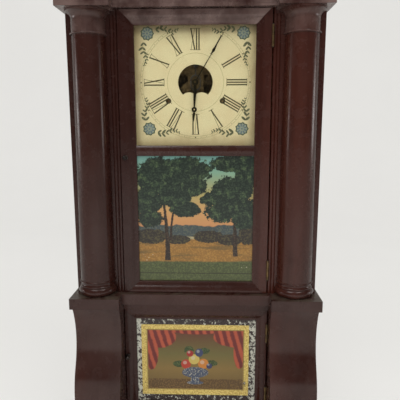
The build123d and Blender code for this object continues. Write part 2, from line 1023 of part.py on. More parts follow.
# Strike side, left of the centre
strike_drum_place = (-winding_spread, -winding_drop)
pin_wheel_place = (-second_place[0], second_place[1])
fly_place = (
    pin_wheel_place[0] + train_distance * cos(radians(fly_angle)),
    pin_wheel_place[1] + train_distance * sin(radians(fly_angle)),
)
hammer_place = (hammer_x, -hammer_drop)

plate_holes = [
    (place, pivot_radius)
    for place in (
        second_place,
        third_place,
        escape_place,
        pin_wheel_place,
        fly_place,
        hammer_place,
        verge_place,
        (0, 0),
    )
] + [(drum_place, drum_arbor_radius), (strike_drum_place, drum_arbor_radius)]
motion_distance = cannon_module * (cannon_teeth + minute_wheel_teeth) / 2
minute_wheel_place = (
    motion_distance * cos(radians(motion_angle)),
    motion_distance * sin(radians(motion_angle)),
)


# Movement frame: two plates, four riveted pillars, a stud and a suspension post
def movement_plate(front, windows):
    with BuildPart() as part:
        with BuildSketch(facing(0, dial_height, front + plate_thickness)):
            with Locations((0, (plate_above - plate_below) / 2)):
                RectangleRounded(2 * plate_half_width, plate_above + plate_below, plate_rounding)
            for place, radius in plate_holes:
                with Locations(place):
                    Circle(radius + running_clearance, mode=Mode.SUBTRACT)
            for side in windows:
                with Locations(
                    (side * (strap_half_width + window_width / 2), (window_low + window_high) / 2)
                ):
                    RectangleRounded(
                        window_width, window_high - window_low, window_rounding, mode=Mode.SUBTRACT
                    )
        extrude(amount=plate_thickness)
    return part.part


pillar_spots = [
    (side * x, z)
    for side in (-1, 1)
    for x, z in (
        (upper_pillar_x, plate_above - upper_pillar_drop),
        (lower_pillar_x, lower_pillar_rise - plate_below),
    )
]
pillars = []
for pillar_x, pillar_z in pillar_spots:
    with BuildPart() as pillar:
        rod(
            pillar_x,
            dial_height + pillar_z,
            pillar_radius,
            front_plate + plate_thickness,
            back_plate,
        )
    pillars.append(pillar.part)

with BuildPart() as minute_stud:
    rod(
        minute_wheel_place[0],
        dial_height + minute_wheel_place[1],
        minute_stud_radius,
        hour_wheel_at - minute_stud_reach,
        front_plate,
    )
post_height = dial_height + verge_height + suspension_rise
with BuildPart() as suspension_post:
    rod(0, post_height, suspension_post_radius, rod_at - minute_stud_reach, front_plate)
pieces["movement_frame"] = [
    movement_plate(front_plate, (-1, 1)),
    movement_plate(back_plate, ()),
    *pillars,
    minute_stud.part,
    suspension_post.part,
]
with BuildPart() as mounting_board:
    mount_front = back_plate + plate_thickness
    slab(
        -plate_half_width,
        plate_half_width,
        mount_front,
        back_inner,
        dial_height - mount_half_height,
        dial_height + mount_half_height,
    )
    for place, radius in plate_holes:
        rod(
            place[0],
            dial_height + place[1],
            radius + mount_recess_margin,
            mount_front,
            mount_front + mount_recess,
            Mode.SUBTRACT,
        )
pieces["mounting_board"] = [mounting_board.part]


def arbor(place, radius, y0, y1, mode=Mode.ADD):
    rod(place[0], dial_height + place[1], radius, y0, y1, mode)


pivot_front = front_plate - pivot_reach
pivot_back = back_plate + plate_thickness + pivot_reach


# Winding drums, each with its ratchet, arbor and winding square
def winding_drum(place):
    x, z = place[0], dial_height + place[1]
    drum_end = drum_start + drum_length
    with BuildPart() as part:
        arbor(place, drum_radius, drum_start, drum_end)
        arbor(place, drum_flange_radius, drum_start, drum_start + drum_flange)
        arbor(place, drum_flange_radius, drum_end - drum_flange, drum_end)
        arbor(place, drum_arbor_radius, front_plate - winding_square, pivot_back)
        slab(
            x - winding_square / 2,
            x + winding_square / 2,
            winding_square_end,
            front_plate - winding_square,
            z - winding_square / 2,
            z + winding_square / 2,
        )
        # Collar that keeps the main wheel on the arbor
        arbor(
            place,
            arbor_collar_radius,
            front_plate + plate_thickness + arbor_collar_gap,
            main_wheel_at - arbor_collar_gap,
        )
        ratchet_front = main_wheel_at + wheel_thickness + ratchet_gap
        low = ratchet_radius - ratchet_depth
        points = []
        for tooth in range(ratchet_teeth):
            start = 2 * pi * tooth / ratchet_teeth
            points.append((ratchet_radius * cos(start), ratchet_radius * sin(start)))
            points.append((low * cos(start), low * sin(start)))
        with BuildSketch(facing(x, z, drum_start)):
            with BuildLine():
                Polyline(*points, close=True)
            make_face()
        extrude(amount=drum_start - ratchet_front)
    return part.part


pieces["time_drum"] = [winding_drum(drum_place)]
pieces["strike_drum"] = [winding_drum(strike_drum_place)]


def main_wheel(place, next_place):
    return wheel(
        place,
        main_wheel_at,
        wheel_thickness,
        main_teeth,
        main_module,
        bearing_to(place, next_place),
        drum_arbor_radius + running_clearance,
        crossed=True,
    )


pieces["time_main_wheel"] = [main_wheel(drum_place, second_place)]
pieces["strike_main_wheel"] = [main_wheel(strike_drum_place, pin_wheel_place)]


def train_wheel(place, pinion, pinion_at, pinion_bearing, wheel_at, wheel_bearing, module):
    """An arbor with a pinion and a toothed wheel."""
    with BuildPart() as part:
        arbor(place, pivot_radius, pivot_front, pivot_back)
        add(wheel(place, pinion_at, pinion_length, pinion, module, pinion_bearing))
        add(
            wheel(
                place,
                wheel_at,
                wheel_thickness,
                wheel_teeth,
                train_module,
                wheel_bearing,
                crossed=True,
            )
        )
    return part


main_pinion_at = main_wheel_at - (pinion_length - wheel_thickness) / 2
second_mesh_at = second_wheel_at - (pinion_length - wheel_thickness) / 2
third_mesh_at = third_wheel_at - (pinion_length - wheel_thickness) / 2

time_second = train_wheel(
    second_place,
    second_pinion_teeth,
    main_pinion_at,
    meshing(second_place, drum_place, second_pinion_teeth),
    second_wheel_at,
    bearing_to(second_place, third_place),
    main_module,
)
time_third = train_wheel(
    third_place,
    small_pinion_teeth,
    second_mesh_at,
    meshing(third_place, second_place, small_pinion_teeth),
    third_wheel_at,
    bearing_to(third_place, escape_place),
    train_module,
)
pieces["time_second_wheel"] = [time_second.part]
pieces["time_third_wheel"] = [time_third.part]

escape_root = escape_radius - escape_tooth_depth
escape_pitch = 360 / escape_teeth
escape_points = []
for tooth in range(escape_teeth):
    for radius, share in (
        (escape_root, 0),
        (escape_radius, tooth_tip_share),
        (escape_radius, 2 * tooth_tip_share),
        (escape_root, 4 * tooth_tip_share),
    ):
        angle = radians((tooth + share) * escape_pitch)
        escape_points.append((radius * cos(angle), radius * sin(angle)))
with BuildPart() as escape_wheel:
    arbor(escape_place, pivot_radius, pivot_front, pivot_back)
    add(
        wheel(
            escape_place,
            third_mesh_at,
            pinion_length,
            small_pinion_teeth,
            train_module,
            meshing(escape_place, third_place, small_pinion_teeth),
        )
    )
    with BuildSketch(facing(0, dial_height + escape_height, escape_wheel_at + wheel_thickness)):
        with BuildLine():
            Polyline(*escape_points, close=True)
        make_face()
        with PolarLocations(escape_root - rim_width - escape_bore, crossings):
            Circle(escape_bore, mode=Mode.SUBTRACT)
    extrude(amount=wheel_thickness)
pieces["escape_wheel"] = [escape_wheel.part]

strike_pin_wheel = train_wheel(
    pin_wheel_place,
    second_pinion_teeth,
    main_pinion_at,
    meshing(pin_wheel_place, strike_drum_place, second_pinion_teeth),
    second_wheel_at,
    bearing_to(pin_wheel_place, fly_place),
    main_module,
)
wheel_root = (wheel_teeth / 2 - tooth_root) * train_module
lifting_circle = wheel_root - rim_width / 2
with strike_pin_wheel:
    for pin in range(lifting_pins):
        angle = 2 * pi * pin / lifting_pins
        pin_place = (
            pin_wheel_place[0] + lifting_circle * cos(angle),
            pin_wheel_place[1] + lifting_circle * sin(angle),
        )
        arbor(pin_place, lifting_pin_radius, second_wheel_at - lifting_pin_length, second_wheel_at)
pieces["strike_pin_wheel"] = [strike_pin_wheel.part]

with BuildPart() as strike_fly:
    fly_x, fly_z = fly_place[0], dial_height + fly_place[1]
    arbor(fly_place, pivot_radius, pivot_front, pivot_back)
    add(
        wheel(
            fly_place,
            second_mesh_at,
            pinion_length,
            small_pinion_teeth,
            train_module,
            meshing(fly_place, pin_wheel_place, small_pinion_teeth),
        )
    )
    slab(
        fly_x - fly_radius,
        fly_x + fly_radius,
        fly_start,
        fly_start + fly_length,
        fly_z - fly_vane / 2,
        fly_z + fly_vane / 2,
    )
    arbor(fly_place, fly_hub_radius, fly_start, fly_start + fly_length)
pieces["strike_fly"] = [strike_fly.part]

# Motion work and hands, turned to the time that the dial shows
motion_bearing = bearing_to((0, 0), minute_wheel_place)
with BuildPart() as cannon_pinion:
    arbor((0, 0), pivot_radius, cannon_at, pivot_back)
    add(wheel((0, 0), cannon_at, cannon_thickness, cannon_teeth, cannon_module, motion_bearing))
    arbor((0, 0), cannon_pipe_radius, minute_front - collet_height, cannon_at)
pieces["cannon_pinion"] = [cannon_pinion.part]

with BuildPart() as hour_wheel:
    add(wheel((0, 0), hour_wheel_at, wheel_thickness, hour_wheel_teeth, hour_module, motion_bearing))
    arbor((0, 0), hour_pipe_radius, hour_front, hour_wheel_at)
    arbor((0, 0), cannon_pipe_radius + running_clearance, hour_front, front_plate, Mode.SUBTRACT)
pieces["hour_wheel"] = [hour_wheel.part]

with BuildPart() as minute_wheel:
    add(
        wheel(
            minute_wheel_place,
            cannon_at + minute_wheel_gap,
            wheel_thickness,
            minute_wheel_teeth,
            cannon_module,
            meshing(minute_wheel_place, (0, 0), minute_wheel_teeth),
        )
    )
    minute_pinion_front = hour_wheel_at - minute_wheel_gap
    add(
        wheel(
            minute_wheel_place,
            minute_pinion_front,
            cannon_at + minute_wheel_gap - minute_pinion_front,
            minute_pinion_teeth,
            hour_module,
            meshing(minute_wheel_place, (0, 0), minute_pinion_teeth),
        )
    )
    arbor(minute_wheel_place, minute_stud_radius + running_clearance, 0, front_plate, Mode.SUBTRACT)
pieces["minute_wheel"] = [minute_wheel.part]


def hand_plane(front, angle):
    """A sketch plane on the back of a hand, whose y points along the hand."""
    tilt = radians(angle)
    return Plane(
        origin=(0, front + hand_thickness, dial_height),
        x_dir=(cos(tilt), 0, -sin(tilt)),
        z_dir=(0, -1, 0),
    )


def tapered(start, start_width, end, end_width):
    """A straight-sided stretch of a hand."""
    Polygon(
        (-start_width / 2, start),
        (start_width / 2, start),
        (end_width / 2, end),
        (-end_width / 2, end),
        align=None,
    )


# Minute hand: a thin arm, a spade and a long tip, with the collet at its hub
spade_end = minute_spade_start + minute_spade_length
spade_middle = minute_spade_start + minute_spade_length / 3
with BuildPart() as minute_hand:
    with BuildSketch(hand_plane(minute_front, minute_angle)):
        Circle(minute_hub_radius)
        tapered(0, minute_arm_width, minute_spade_start, minute_neck_width)
        tapered(minute_spade_start, minute_neck_width, spade_middle, minute_spade_width)
        tapered(spade_middle, minute_spade_width, spade_end, minute_neck_width)
        tapered(spade_end, minute_neck_width, minute_length, minute_tip_width)
    extrude(amount=hand_thickness)
    arbor((0, 0), cannon_pipe_radius + collet_wall, minute_front - collet_height, minute_front)
    arbor((0, 0), cannon_pipe_radius, 0, front_plate, Mode.SUBTRACT)
pieces["minute_hand"] = [minute_hand.part]

# Hour hand: a tapering arm, a pierced ring and a leaf-shaped tip
leaf_start = hour_ring_distance + hour_ring_radius - collet_height
leaf_middle = leaf_start + hour_leaf_width
with BuildPart() as hour_hand:
    with BuildSketch(hand_plane(hour_front, hour_angle)):
        Circle(hour_hub_radius)
        tapered(0, hour_arm_width, hour_arm_waist, hour_arm_width - collet_wall)
        tapered(hour_arm_waist, hour_arm_width - collet_wall, hour_ring_distance, hour_neck_width)
        with Locations((0, hour_ring_distance)):
            Circle(hour_ring_radius)
            Circle(hour_ring_hole, mode=Mode.SUBTRACT)
        tapered(leaf_start, hour_neck_width, leaf_middle, hour_leaf_width)
        tapered(leaf_middle, hour_leaf_width, hour_length, minute_tip_width)
    extrude(amount=hand_thickness)
    arbor(
        (0, 0), hour_pipe_radius + collet_wall, hour_front, hour_front + hand_thickness + collet_height
    )
    arbor((0, 0), hour_pipe_radius, 0, front_plate, Mode.SUBTRACT)
pieces["hour_hand"] = [hour_hand.part]

# Verge: pallets astride the escape wheel, arbor and crutch
verge_to_escape = verge_height - escape_height
pallet_inner = sqrt((escape_radius + pallet_gap) ** 2 - (verge_to_escape - pallet_drop) ** 2)
pallet_outer = pallet_inner + pallet_width
elbow_inner = verge_elbow_reach - pallet_width / 2
with BuildPart() as verge:
    arbor(verge_place, pivot_radius, crutch_at, pivot_back)
    with BuildSketch(facing(0, dial_height + verge_height, escape_wheel_at + wheel_thickness)):
        with BuildLine():
            Polyline(
                (-pallet_outer, -pallet_drop),
                (-verge_elbow_reach, -verge_elbow_drop),
                (0, verge_depth),
                (verge_elbow_reach, -verge_elbow_drop),
                (pallet_outer, -pallet_drop),
                (pallet_inner, -pallet_drop),
                (elbow_inner, -verge_elbow_drop - pallet_width / 2),
                (0, -verge_depth),
                (-elbow_inner, -verge_elbow_drop - pallet_width / 2),
                (-pallet_inner, -pallet_drop),
                close=True,
            )
        make_face()
    extrude(amount=wheel_thickness)
    with BuildSketch(facing(0, dial_height + verge_height, crutch_at + crutch_thickness)):
        Circle(crutch_hub_radius)
        with Locations((0, -crutch_length / 2)):
            Rectangle(crutch_width, crutch_length)
        with Locations((0, -crutch_length)):
            Rectangle(fork_width, fork_height)
    extrude(amount=crutch_thickness)
    fork_inner = rod_width / 2 + fork_clearance
    fork_z = dial_height + verge_height - crutch_length
    for side in (-1, 1):
        slab(
            side * fork_inner,
            side * (fork_inner + fork_prong),
            rod_at - fork_reach,
            crutch_at + crutch_thickness,
            fork_z - fork_height / 2,
            fork_z + fork_height / 2,
        )
pieces["verge"] = [verge.part]

# Pendulum: a flat rod bowed round the hand arbor, hung from the post, and a lens bob
pivot_z = dial_height + verge_height + suspension_rise
bow_z = -verge_height - suspension_rise
rod_end = bow_z + verge_height - pendulum_length - bob_radius - pendulum_tail
with BuildPart() as pendulum_rod:
    with BuildSketch(facing(0, pivot_z, rod_at + rod_thickness)):
        with Locations((0, rod_end / 2)):
            Rectangle(rod_width, -rod_end)
        Circle(suspension_eye_radius)
        Circle(suspension_post_radius + running_clearance, mode=Mode.SUBTRACT)
        with Locations((0, bow_z)):
            SlotOverall(2 * bow_half_height, 2 * bow_half_width, rotation=90)
            SlotOverall(
                2 * (bow_half_height - rod_width),
                2 * (bow_half_width - rod_width),
                rotation=90,
                mode=Mode.SUBTRACT,
            )
    extrude(amount=rod_thickness)
pieces["pendulum_rod"] = [pendulum_rod.part]

bob_height = dial_height + verge_height - pendulum_length
bob_middle = rod_at + rod_thickness / 2
bob_half = bob_thickness / 2
lens_radius = (bob_radius**2 + bob_half**2) / bob_thickness
lens_middle = sqrt(lens_radius**2 - bob_radius**2 / 4) - lens_radius + bob_half
with BuildPart() as pendulum_bob:
    with BuildSketch(Plane(origin=(0, bob_middle, bob_height), x_dir=(1, 0, 0), z_dir=(0, 0, 1))):
        with BuildLine():
            ThreePointArc((0, -bob_half), (bob_radius / 2, -lens_middle), (bob_radius, 0))
            ThreePointArc((bob_radius, 0), (bob_radius / 2, lens_middle), (0, bob_half))
            Line((0, bob_half), (0, -bob_half))
        make_face()
    revolve(axis=Axis((0, bob_middle, bob_height), (0, 1, 0)))
    slab(
        -rod_width / 2,
        rod_width / 2,
        rod_at,
        rod_at + rod_thickness,
        bob_height - 2 * bob_radius,
        bob_height + 2 * bob_radius,
        Mode.SUBTRACT,
    )
pieces["pendulum_bob"] = [pendulum_bob.part]

# Bell on its post, and the hammer that strikes its rim
bell_z = dial_height - bell_drop
bell_crown = bell_rim_at - bell_depth


def bell_wall_arc(radius, crown, crown_radius):
    """One face of the bell's wall, from its flat crown to its rim."""
    bend = (crown_radius + 3 * radius) / 4
    ThreePointArc(
        (crown_radius, crown), (bend, (2 * crown + bell_rim_at) / 3), (radius, bell_rim_at)
    )


bell_inside = bell_radius - bell_wall
with BuildPart() as bell:
    with BuildSketch(Plane(origin=(bell_x, 0, bell_z), x_dir=(1, 0, 0), z_dir=(0, 0, 1))):
        with BuildLine():
            Line((0, bell_crown), (bell_crown_radius, bell_crown))
            bell_wall_arc(bell_radius, bell_crown, bell_crown_radius)
            Line((bell_radius, bell_rim_at), (bell_inside, bell_rim_at))
            bell_wall_arc(bell_inside, bell_crown + bell_wall, bell_crown_radius - bell_wall)
            Polyline(
                (bell_crown_radius - bell_wall, bell_crown + bell_wall),
                (0, bell_crown + bell_wall),
                (0, bell_crown),
            )
        make_face()
    revolve(axis=Axis((bell_x, 0, bell_z), (0, 1, 0)))
    rod(bell_x, bell_z, bell_post_radius, 0, bell_rim_at, Mode.SUBTRACT)
with BuildPart() as bell_post:
    nut_front = bell_crown - bell_nut_height
    rod(bell_x, bell_z, bell_nut_radius, bell_crown + bell_wall, back_inner)
    rod(bell_x, bell_z, bell_post_radius, nut_front - bell_post_end, back_inner)
    rod(bell_x, bell_z, bell_nut_radius, nut_front, bell_crown)
pieces["bell"] = [bell.part, bell_post.part]

with BuildPart() as hammer:
    hammer_z = dial_height + hammer_place[1]
    head_x = bell_x - bell_radius - hammer_gap - hammer_head_length / 2
    arm_run = Vector(head_x - hammer_x, 0, bell_z - hammer_z)
    arm_tilt = degrees(atan2(arm_run.X, arm_run.Z))
    arbor(hammer_place, pivot_radius, pivot_front, hammer_at + hammer_arm_radius)
    with Locations(
        Location(((hammer_x + head_x) / 2, hammer_at, (hammer_z + bell_z) / 2), (0, arm_tilt, 0))
    ):
        Cylinder(hammer_arm_radius, arm_run.length)
    with Locations(Location((head_x, hammer_at, bell_z), (0, 90, 0))):
        Cylinder(hammer_head_radius, hammer_head_length)
pieces["hammer"] = [hammer.part]


# Weights with their hooks, at the bottom of their fall
def side_weight():
    with BuildPart() as part:
        with Locations((weight_x, train_middle, weight_rest_height + weight_height / 2)):
            Cylinder(weight_radius, weight_height)
        rim = part.edges().filter_by(GeomType.CIRCLE)
        fillet(rim, weight_rounding)
        hook_base = weight_rest_height + weight_height
        with Locations((weight_x, train_middle, hook_base + weight_hook_height / 2)):
            Cylinder(weight_hook_radius, weight_hook_height)
    return part.part


pulley_height = top_board_top + pulley_pin_radius + running_clearance
pulley_x = weight_x - pulley_cord_radius
right_weight = side_weight()
pieces["right_weight"] = [right_weight]
pieces["left_weight"] = [mirrored(right_weight)]

hook_top = weight_rest_height + weight_height + weight_hook_height
with BuildPart() as right_cord:
    with Locations((weight_x, train_middle, (hook_top + pulley_height) / 2)):
        Cylinder(cord_radius, pulley_height - hook_top)
pieces["right_weight_cord"] = [right_cord.part]
pieces["left_weight_cord"] = [mirrored(right_cord.part)]

# Cord from the drum's outer side up to the pulley, then over it to the weight's side
drum_cord_radius = drum_radius + cord_radius + running_clearance
run_x = pulley_x - drum_place[0]
run_z = pulley_height - (dial_height + drum_place[1])
run_bearing = atan2(run_z, run_x) + asin((drum_cord_radius + pulley_cord_radius) / hypot(run_x, run_z))
normal = (-sin(run_bearing), cos(run_bearing))
run_start = (
    drum_place[0] - drum_cord_radius * normal[0],
    dial_height + drum_place[1] - drum_cord_radius * normal[1],
)
run_end = (
    pulley_x + pulley_cord_radius * normal[0],
    pulley_height + pulley_cord_radius * normal[1],
)
over_angle = (run_bearing + pi / 2) / 2
run_over = (
    pulley_x + pulley_cord_radius * cos(over_angle),
    pulley_height + pulley_cord_radius * sin(over_angle),
)
with BuildPart() as right_cord_run:
    with BuildLine(facing(0, 0, train_middle)):
        Line(run_start, run_end)
        ThreePointArc(run_end, run_over, (weight_x, pulley_height))
    start_plane = Plane(
        origin=(run_start[0], train_middle, run_start[1]),
        z_dir=(cos(run_bearing), 0, sin(run_bearing)),
    )
    with BuildSketch(start_plane):
        Circle(cord_radius)
    sweep()
pieces["weight_cord_runs"] = [right_cord_run.part, mirrored(right_cord_run.part)]

# Top board with slots for the pulleys, the weights' cords and the slanting runs
slot_half = pulley_width / 2 + pulley_slot_clearance
slot_reach = pulley_radius + pulley_slot_clearance
run_half = cord_radius + pulley_edge
run_inner = (
    drum_place[0]
    + (top_board_bottom - run_start[1]) / tan(run_bearing)
    - drum_cord_radius
)
with BuildPart() as top_board:
    slab(-inside_half, inside_half, stile_thickness, back_inner, top_board_bottom, top_board_top)
    for side in (-1, 1):
        slab(
            side * (pulley_x - slot_reach),
            side * (pulley_x + slot_reach),
            train_middle - slot_half,
            train_middle + slot_half,
            top_board_bottom,
            top_board_top,
            Mode.SUBTRACT,
        )
        slab(
            side * run_inner,
            side * pulley_x,
            train_middle - run_half,
            train_middle + run_half,
            top_board_bottom,
            top_board_top,
            Mode.SUBTRACT,
        )
pieces["top_board"] = [top_board.part]

# Pulleys on pins that lie across the slots in the top board
groove_radius = pulley_cord_radius - cord_radius - cord_clearance
with BuildPart() as right_pulley:
    with BuildSketch(
        Plane(origin=(pulley_x, train_middle, pulley_height), x_dir=(1, 0, 0), z_dir=(0, 0, 1))
    ):
        with BuildLine():
            edge = pulley_width / 2
            flange = edge - pulley_edge
            throat = cord_radius + cord_clearance
            Polyline(
                (0, -edge),
                (pulley_radius, -edge),
                (pulley_radius, -flange),
                (groove_radius, -throat),
                (groove_radius, throat),
                (pulley_radius, flange),
                (pulley_radius, edge),
                (0, edge),
                close=True,
            )
        make_face()
    revolve(axis=Axis((pulley_x, train_middle, pulley_height), (0, 1, 0)))
    rod(pulley_x, pulley_height, pulley_pin_radius, 0, 2 * train_middle, Mode.SUBTRACT)
pin_half = slot_half + pulley_pin_overlap
with BuildPart() as right_pulley_pin:
    rod(
        pulley_x,
        pulley_height,
        pulley_pin_radius,
        train_middle - pin_half,
        train_middle + pin_half,
    )
pieces["right_pulley"] = [right_pulley.part, right_pulley_pin.part]
pieces["left_pulley"] = [mirrored(right_pulley.part), mirrored(right_pulley_pin.part)]

# Write every node, moved so that the bounding box is centred front to back
os.makedirs("parts", exist_ok=True)
for name, solids in pieces.items():
    node = solids[0] if len(solids) == 1 else Compound(solids)
    node = node.moved(Location((0, front_plane, 0)))
    node.label = name
    export_step(node, f"parts/{name}.step")
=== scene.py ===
import random
from math import atan2, cos, pi, sin

import bpy
from mathutils import Matrix, Vector


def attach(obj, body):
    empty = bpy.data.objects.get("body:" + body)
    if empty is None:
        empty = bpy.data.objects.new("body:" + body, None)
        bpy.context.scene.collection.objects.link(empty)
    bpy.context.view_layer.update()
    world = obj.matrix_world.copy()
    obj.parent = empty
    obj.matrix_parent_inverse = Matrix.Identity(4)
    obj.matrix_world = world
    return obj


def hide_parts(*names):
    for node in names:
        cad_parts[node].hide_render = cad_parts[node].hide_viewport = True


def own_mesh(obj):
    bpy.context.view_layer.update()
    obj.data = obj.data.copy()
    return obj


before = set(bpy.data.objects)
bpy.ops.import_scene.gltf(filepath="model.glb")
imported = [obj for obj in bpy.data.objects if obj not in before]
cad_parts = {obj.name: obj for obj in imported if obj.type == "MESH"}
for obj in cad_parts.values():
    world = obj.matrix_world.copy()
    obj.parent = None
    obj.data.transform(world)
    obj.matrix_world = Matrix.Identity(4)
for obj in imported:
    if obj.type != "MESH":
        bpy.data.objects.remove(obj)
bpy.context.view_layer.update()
mm = 0.001  # in metres
perMetre = 1000  # millimetres
bevelSamples = 4
print("frame loaded:", len(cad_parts), "nodes")


# Shading: a socket that takes part in sums, and a material that makes nodes
class Wire:
    def __init__(self, shade, socket):
        self.shade = shade
        self.socket = socket

    def sum(self, operation, first, second=None):
        values = {0: first} if second is None else {0: first, 1: second}
        return self.shade.node("ShaderNodeMath", {"operation": operation}, values)

    def __add__(self, other):
        return self.sum("ADD", self, other)

    def __radd__(self, other):
        return self.sum("ADD", other, self)

    def __sub__(self, other):
        return self.sum("SUBTRACT", self, other)

    def __rsub__(self, other):
        return self.sum("SUBTRACT", other, self)

    def __mul__(self, other):
        return self.sum("MULTIPLY", self, other)

    def __rmul__(self, other):
        return self.sum("MULTIPLY", other, self)

    def __truediv__(self, other):
        return self.sum("DIVIDE", self, other)

    def __rtruediv__(self, other):
        return self.sum("DIVIDE", other, self)

    def least(self, other):
        return self.sum("MINIMUM", self, other)

    def most(self, other):
        return self.sum("MAXIMUM", self, other)

    def size(self):
        return self.sum("ABSOLUTE", self)

    def sine(self):
        return self.sum("SINE", self)

    def above(self, low, high):  # 0 under low, 1 over high, smooth between
        values = {"Value": self, "From Min": low, "From Max": high}
        return self.shade.node("ShaderNodeMapRange", {"interpolation_type": "SMOOTHSTEP"}, values)

    def below(self, low, high):
        return 1 - self.above(low, high)


def tint(red, green, blue):  # a colour written as it shows, 0 to 255, through the sRGB curve
    def linear(value):
        value /= 255
        return value / 12.92 if value <= 0.04045 else ((value + 0.055) / 1.055) ** 2.4
    return (linear(red), linear(green), linear(blue), 1.0)


class Shade:
    def __init__(self, name, world=None):
        self.material = world or bpy.data.materials.new(name)
        self.material.use_nodes = True
        self.tree = self.material.node_tree
        self.tree.nodes.clear()
        self.output = self.tree.nodes.new("ShaderNodeOutput" + ("World" if world else "Material"))
        self.point = self.node("ShaderNodeTexCoord", out="Generated" if world else "Object")
        self.x, self.y, self.z = (
            self.node("ShaderNodeSeparateXYZ", {}, {0: self.point}, out=axis) for axis in "XYZ"
        )

    def node(self, kind, settings=None, inputs=None, out=0):
        made = self.tree.nodes.new(kind)
        for key, value in (settings or {}).items():
            if key == "stops":
                ramp = made.color_ramp
                for place, colour in value[1:-1]:
                    ramp.elements.new(place)
                for element, (place, colour) in zip(ramp.elements, value):
                    element.position = place
                    element.color = colour
            else:
                setattr(made, key, value)
        for key, value in (inputs or {}).items():
            socket = made.inputs[key]
            if isinstance(value, Wire):
                self.tree.links.new(value.socket, socket)
            else:
                socket.default_value = value
        return Wire(self, made.outputs[out])

    def mix(self, share, first, second):  # 6 and 7 are the node's colour sockets, 2 their result
        return self.node("ShaderNodeMix", {"data_type": "RGBA"}, {0: share, 6: first, 7: second}, out=2)

    def ramp(self, value, stops):
        return self.node("ShaderNodeValToRGB", {"stops": stops}, {0: value})

    def scaled(self, amounts):
        return self.node("ShaderNodeVectorMath", {"operation": "MULTIPLY"}, {0: self.point, 1: amounts})

    def along(self, axis, share):  # the point, squeezed along one axis to draw a noise out
        return self.scaled([share if other == axis else 1.0 for other in "XYZ"])

    def noise(self, scale, detail, roughness=0.5, at=None):
        values = {
            "Vector": at or self.point,
            "Scale": scale,
            "Detail": detail,
            "Roughness": roughness,
        }
        return self.node("ShaderNodeTexNoise", {}, values)

    def cells(self, scale, feature="F1"):
        values = {"Vector": self.point, "Scale": scale}
        return self.node("ShaderNodeTexVoronoi", {"feature": feature}, values)

    def facing(self, axis):  # how far the surface faces along +X, +Y or +Z
        normal = self.node("ShaderNodeNewGeometry", out="Normal")
        return self.node("ShaderNodeSeparateXYZ", {}, {0: normal}, out=axis)

    def bump(self, height, distance, strength=1.0, edgeRound=0):
        values = {"Height": height, "Distance": distance, "Strength": strength}
        if edgeRound:
            settings = {"samples": bevelSamples}
            values["Normal"] = self.node("ShaderNodeBevel", settings, {"Radius": edgeRound})
        return self.node("ShaderNodeBump", {}, values)

    def close(self, inputs, kind="ShaderNodeBsdfPrincipled"):
        shader = self.node(kind, {}, inputs)
        self.tree.links.new(shader.socket, self.output.inputs[0])
        return self.material


# In each dictionary a noise is its scale, detail and roughness, which is a half where it isn't
# given, and a band is where a mask starts and where it is full.

# Veneer: dark mahogany under old shellac, grained along one axis, with lighter grey patches that are
# partly a bloom in the shellac and partly painted sheen, and a painted sheen over everything above the
# capitals' foot
mahogany = {
    "dark": tint(42, 17, 12),
    "brown": tint(49, 23, 17),
    "red": tint(68, 30, 21),
    "dust": tint(84, 74, 62),
    # lighter grey, partly a shellac bloom and partly painted sheen
    "hazeAndSheen": tint(112, 92, 87),
    "grainLength": 0.07,
    "poreLength": 0.05,
    "figure": (11, 3, 0.55),
    "figureBand": (0.36, 0.66),
    "clouds": (9, 2, 0.5),
    "redClouds": (0.44, 0.7),
    "redFigure": (0.3, 0.6),
    "redShare": 0.75,
    "hazeAndSheenFilm": (13, 4, 0.6),
    "hazeAndSheenBand": (0.25, 0.7),
    "hazeAndSheenLimit": 0.9,
    # heights in millimetres where the painted sheen on the upper parts begins
    "capitalFoot": (749.0, 755.0),
    "streaks": (150, 4, 0.65),
    "streakBand": (0.5, 0.72),
    "streakShare": 0.45,
    "upward": (0.6, 0.95),
    "settling": (60, 3, 0.6),
    "settlingBand": (0.3, 0.7),
    "dustShare": 0.55,
    "speckScale": 420,
    "speckBand": (0.05, 0.11),
    "speckPatches": (24, 2),
    "speckPatchBand": (0.55, 0.68),
    "speckShare": 0.5,
    "wear": (38, 4, 0.7),
    "wearBand": (0.4, 0.7),
    "roughness": 0.2,
    "wornRoughness": 0.16,
    "dustRoughness": 0.5,
    "coat": 0.2,
    "coatRoughness": 0.16,
    "shine": 0.3,
    "pores": (900, 2, 0.6),
    "poreRelief": 0.35,
    "grit": (300, 3, 0.6),
    "gritRelief": 0.25,
    "figureRelief": 0.4,
    "relief": 0.1 * mm,
    "reliefStrength": 0.22,
    "edgeRound": 0.7 * mm,
}


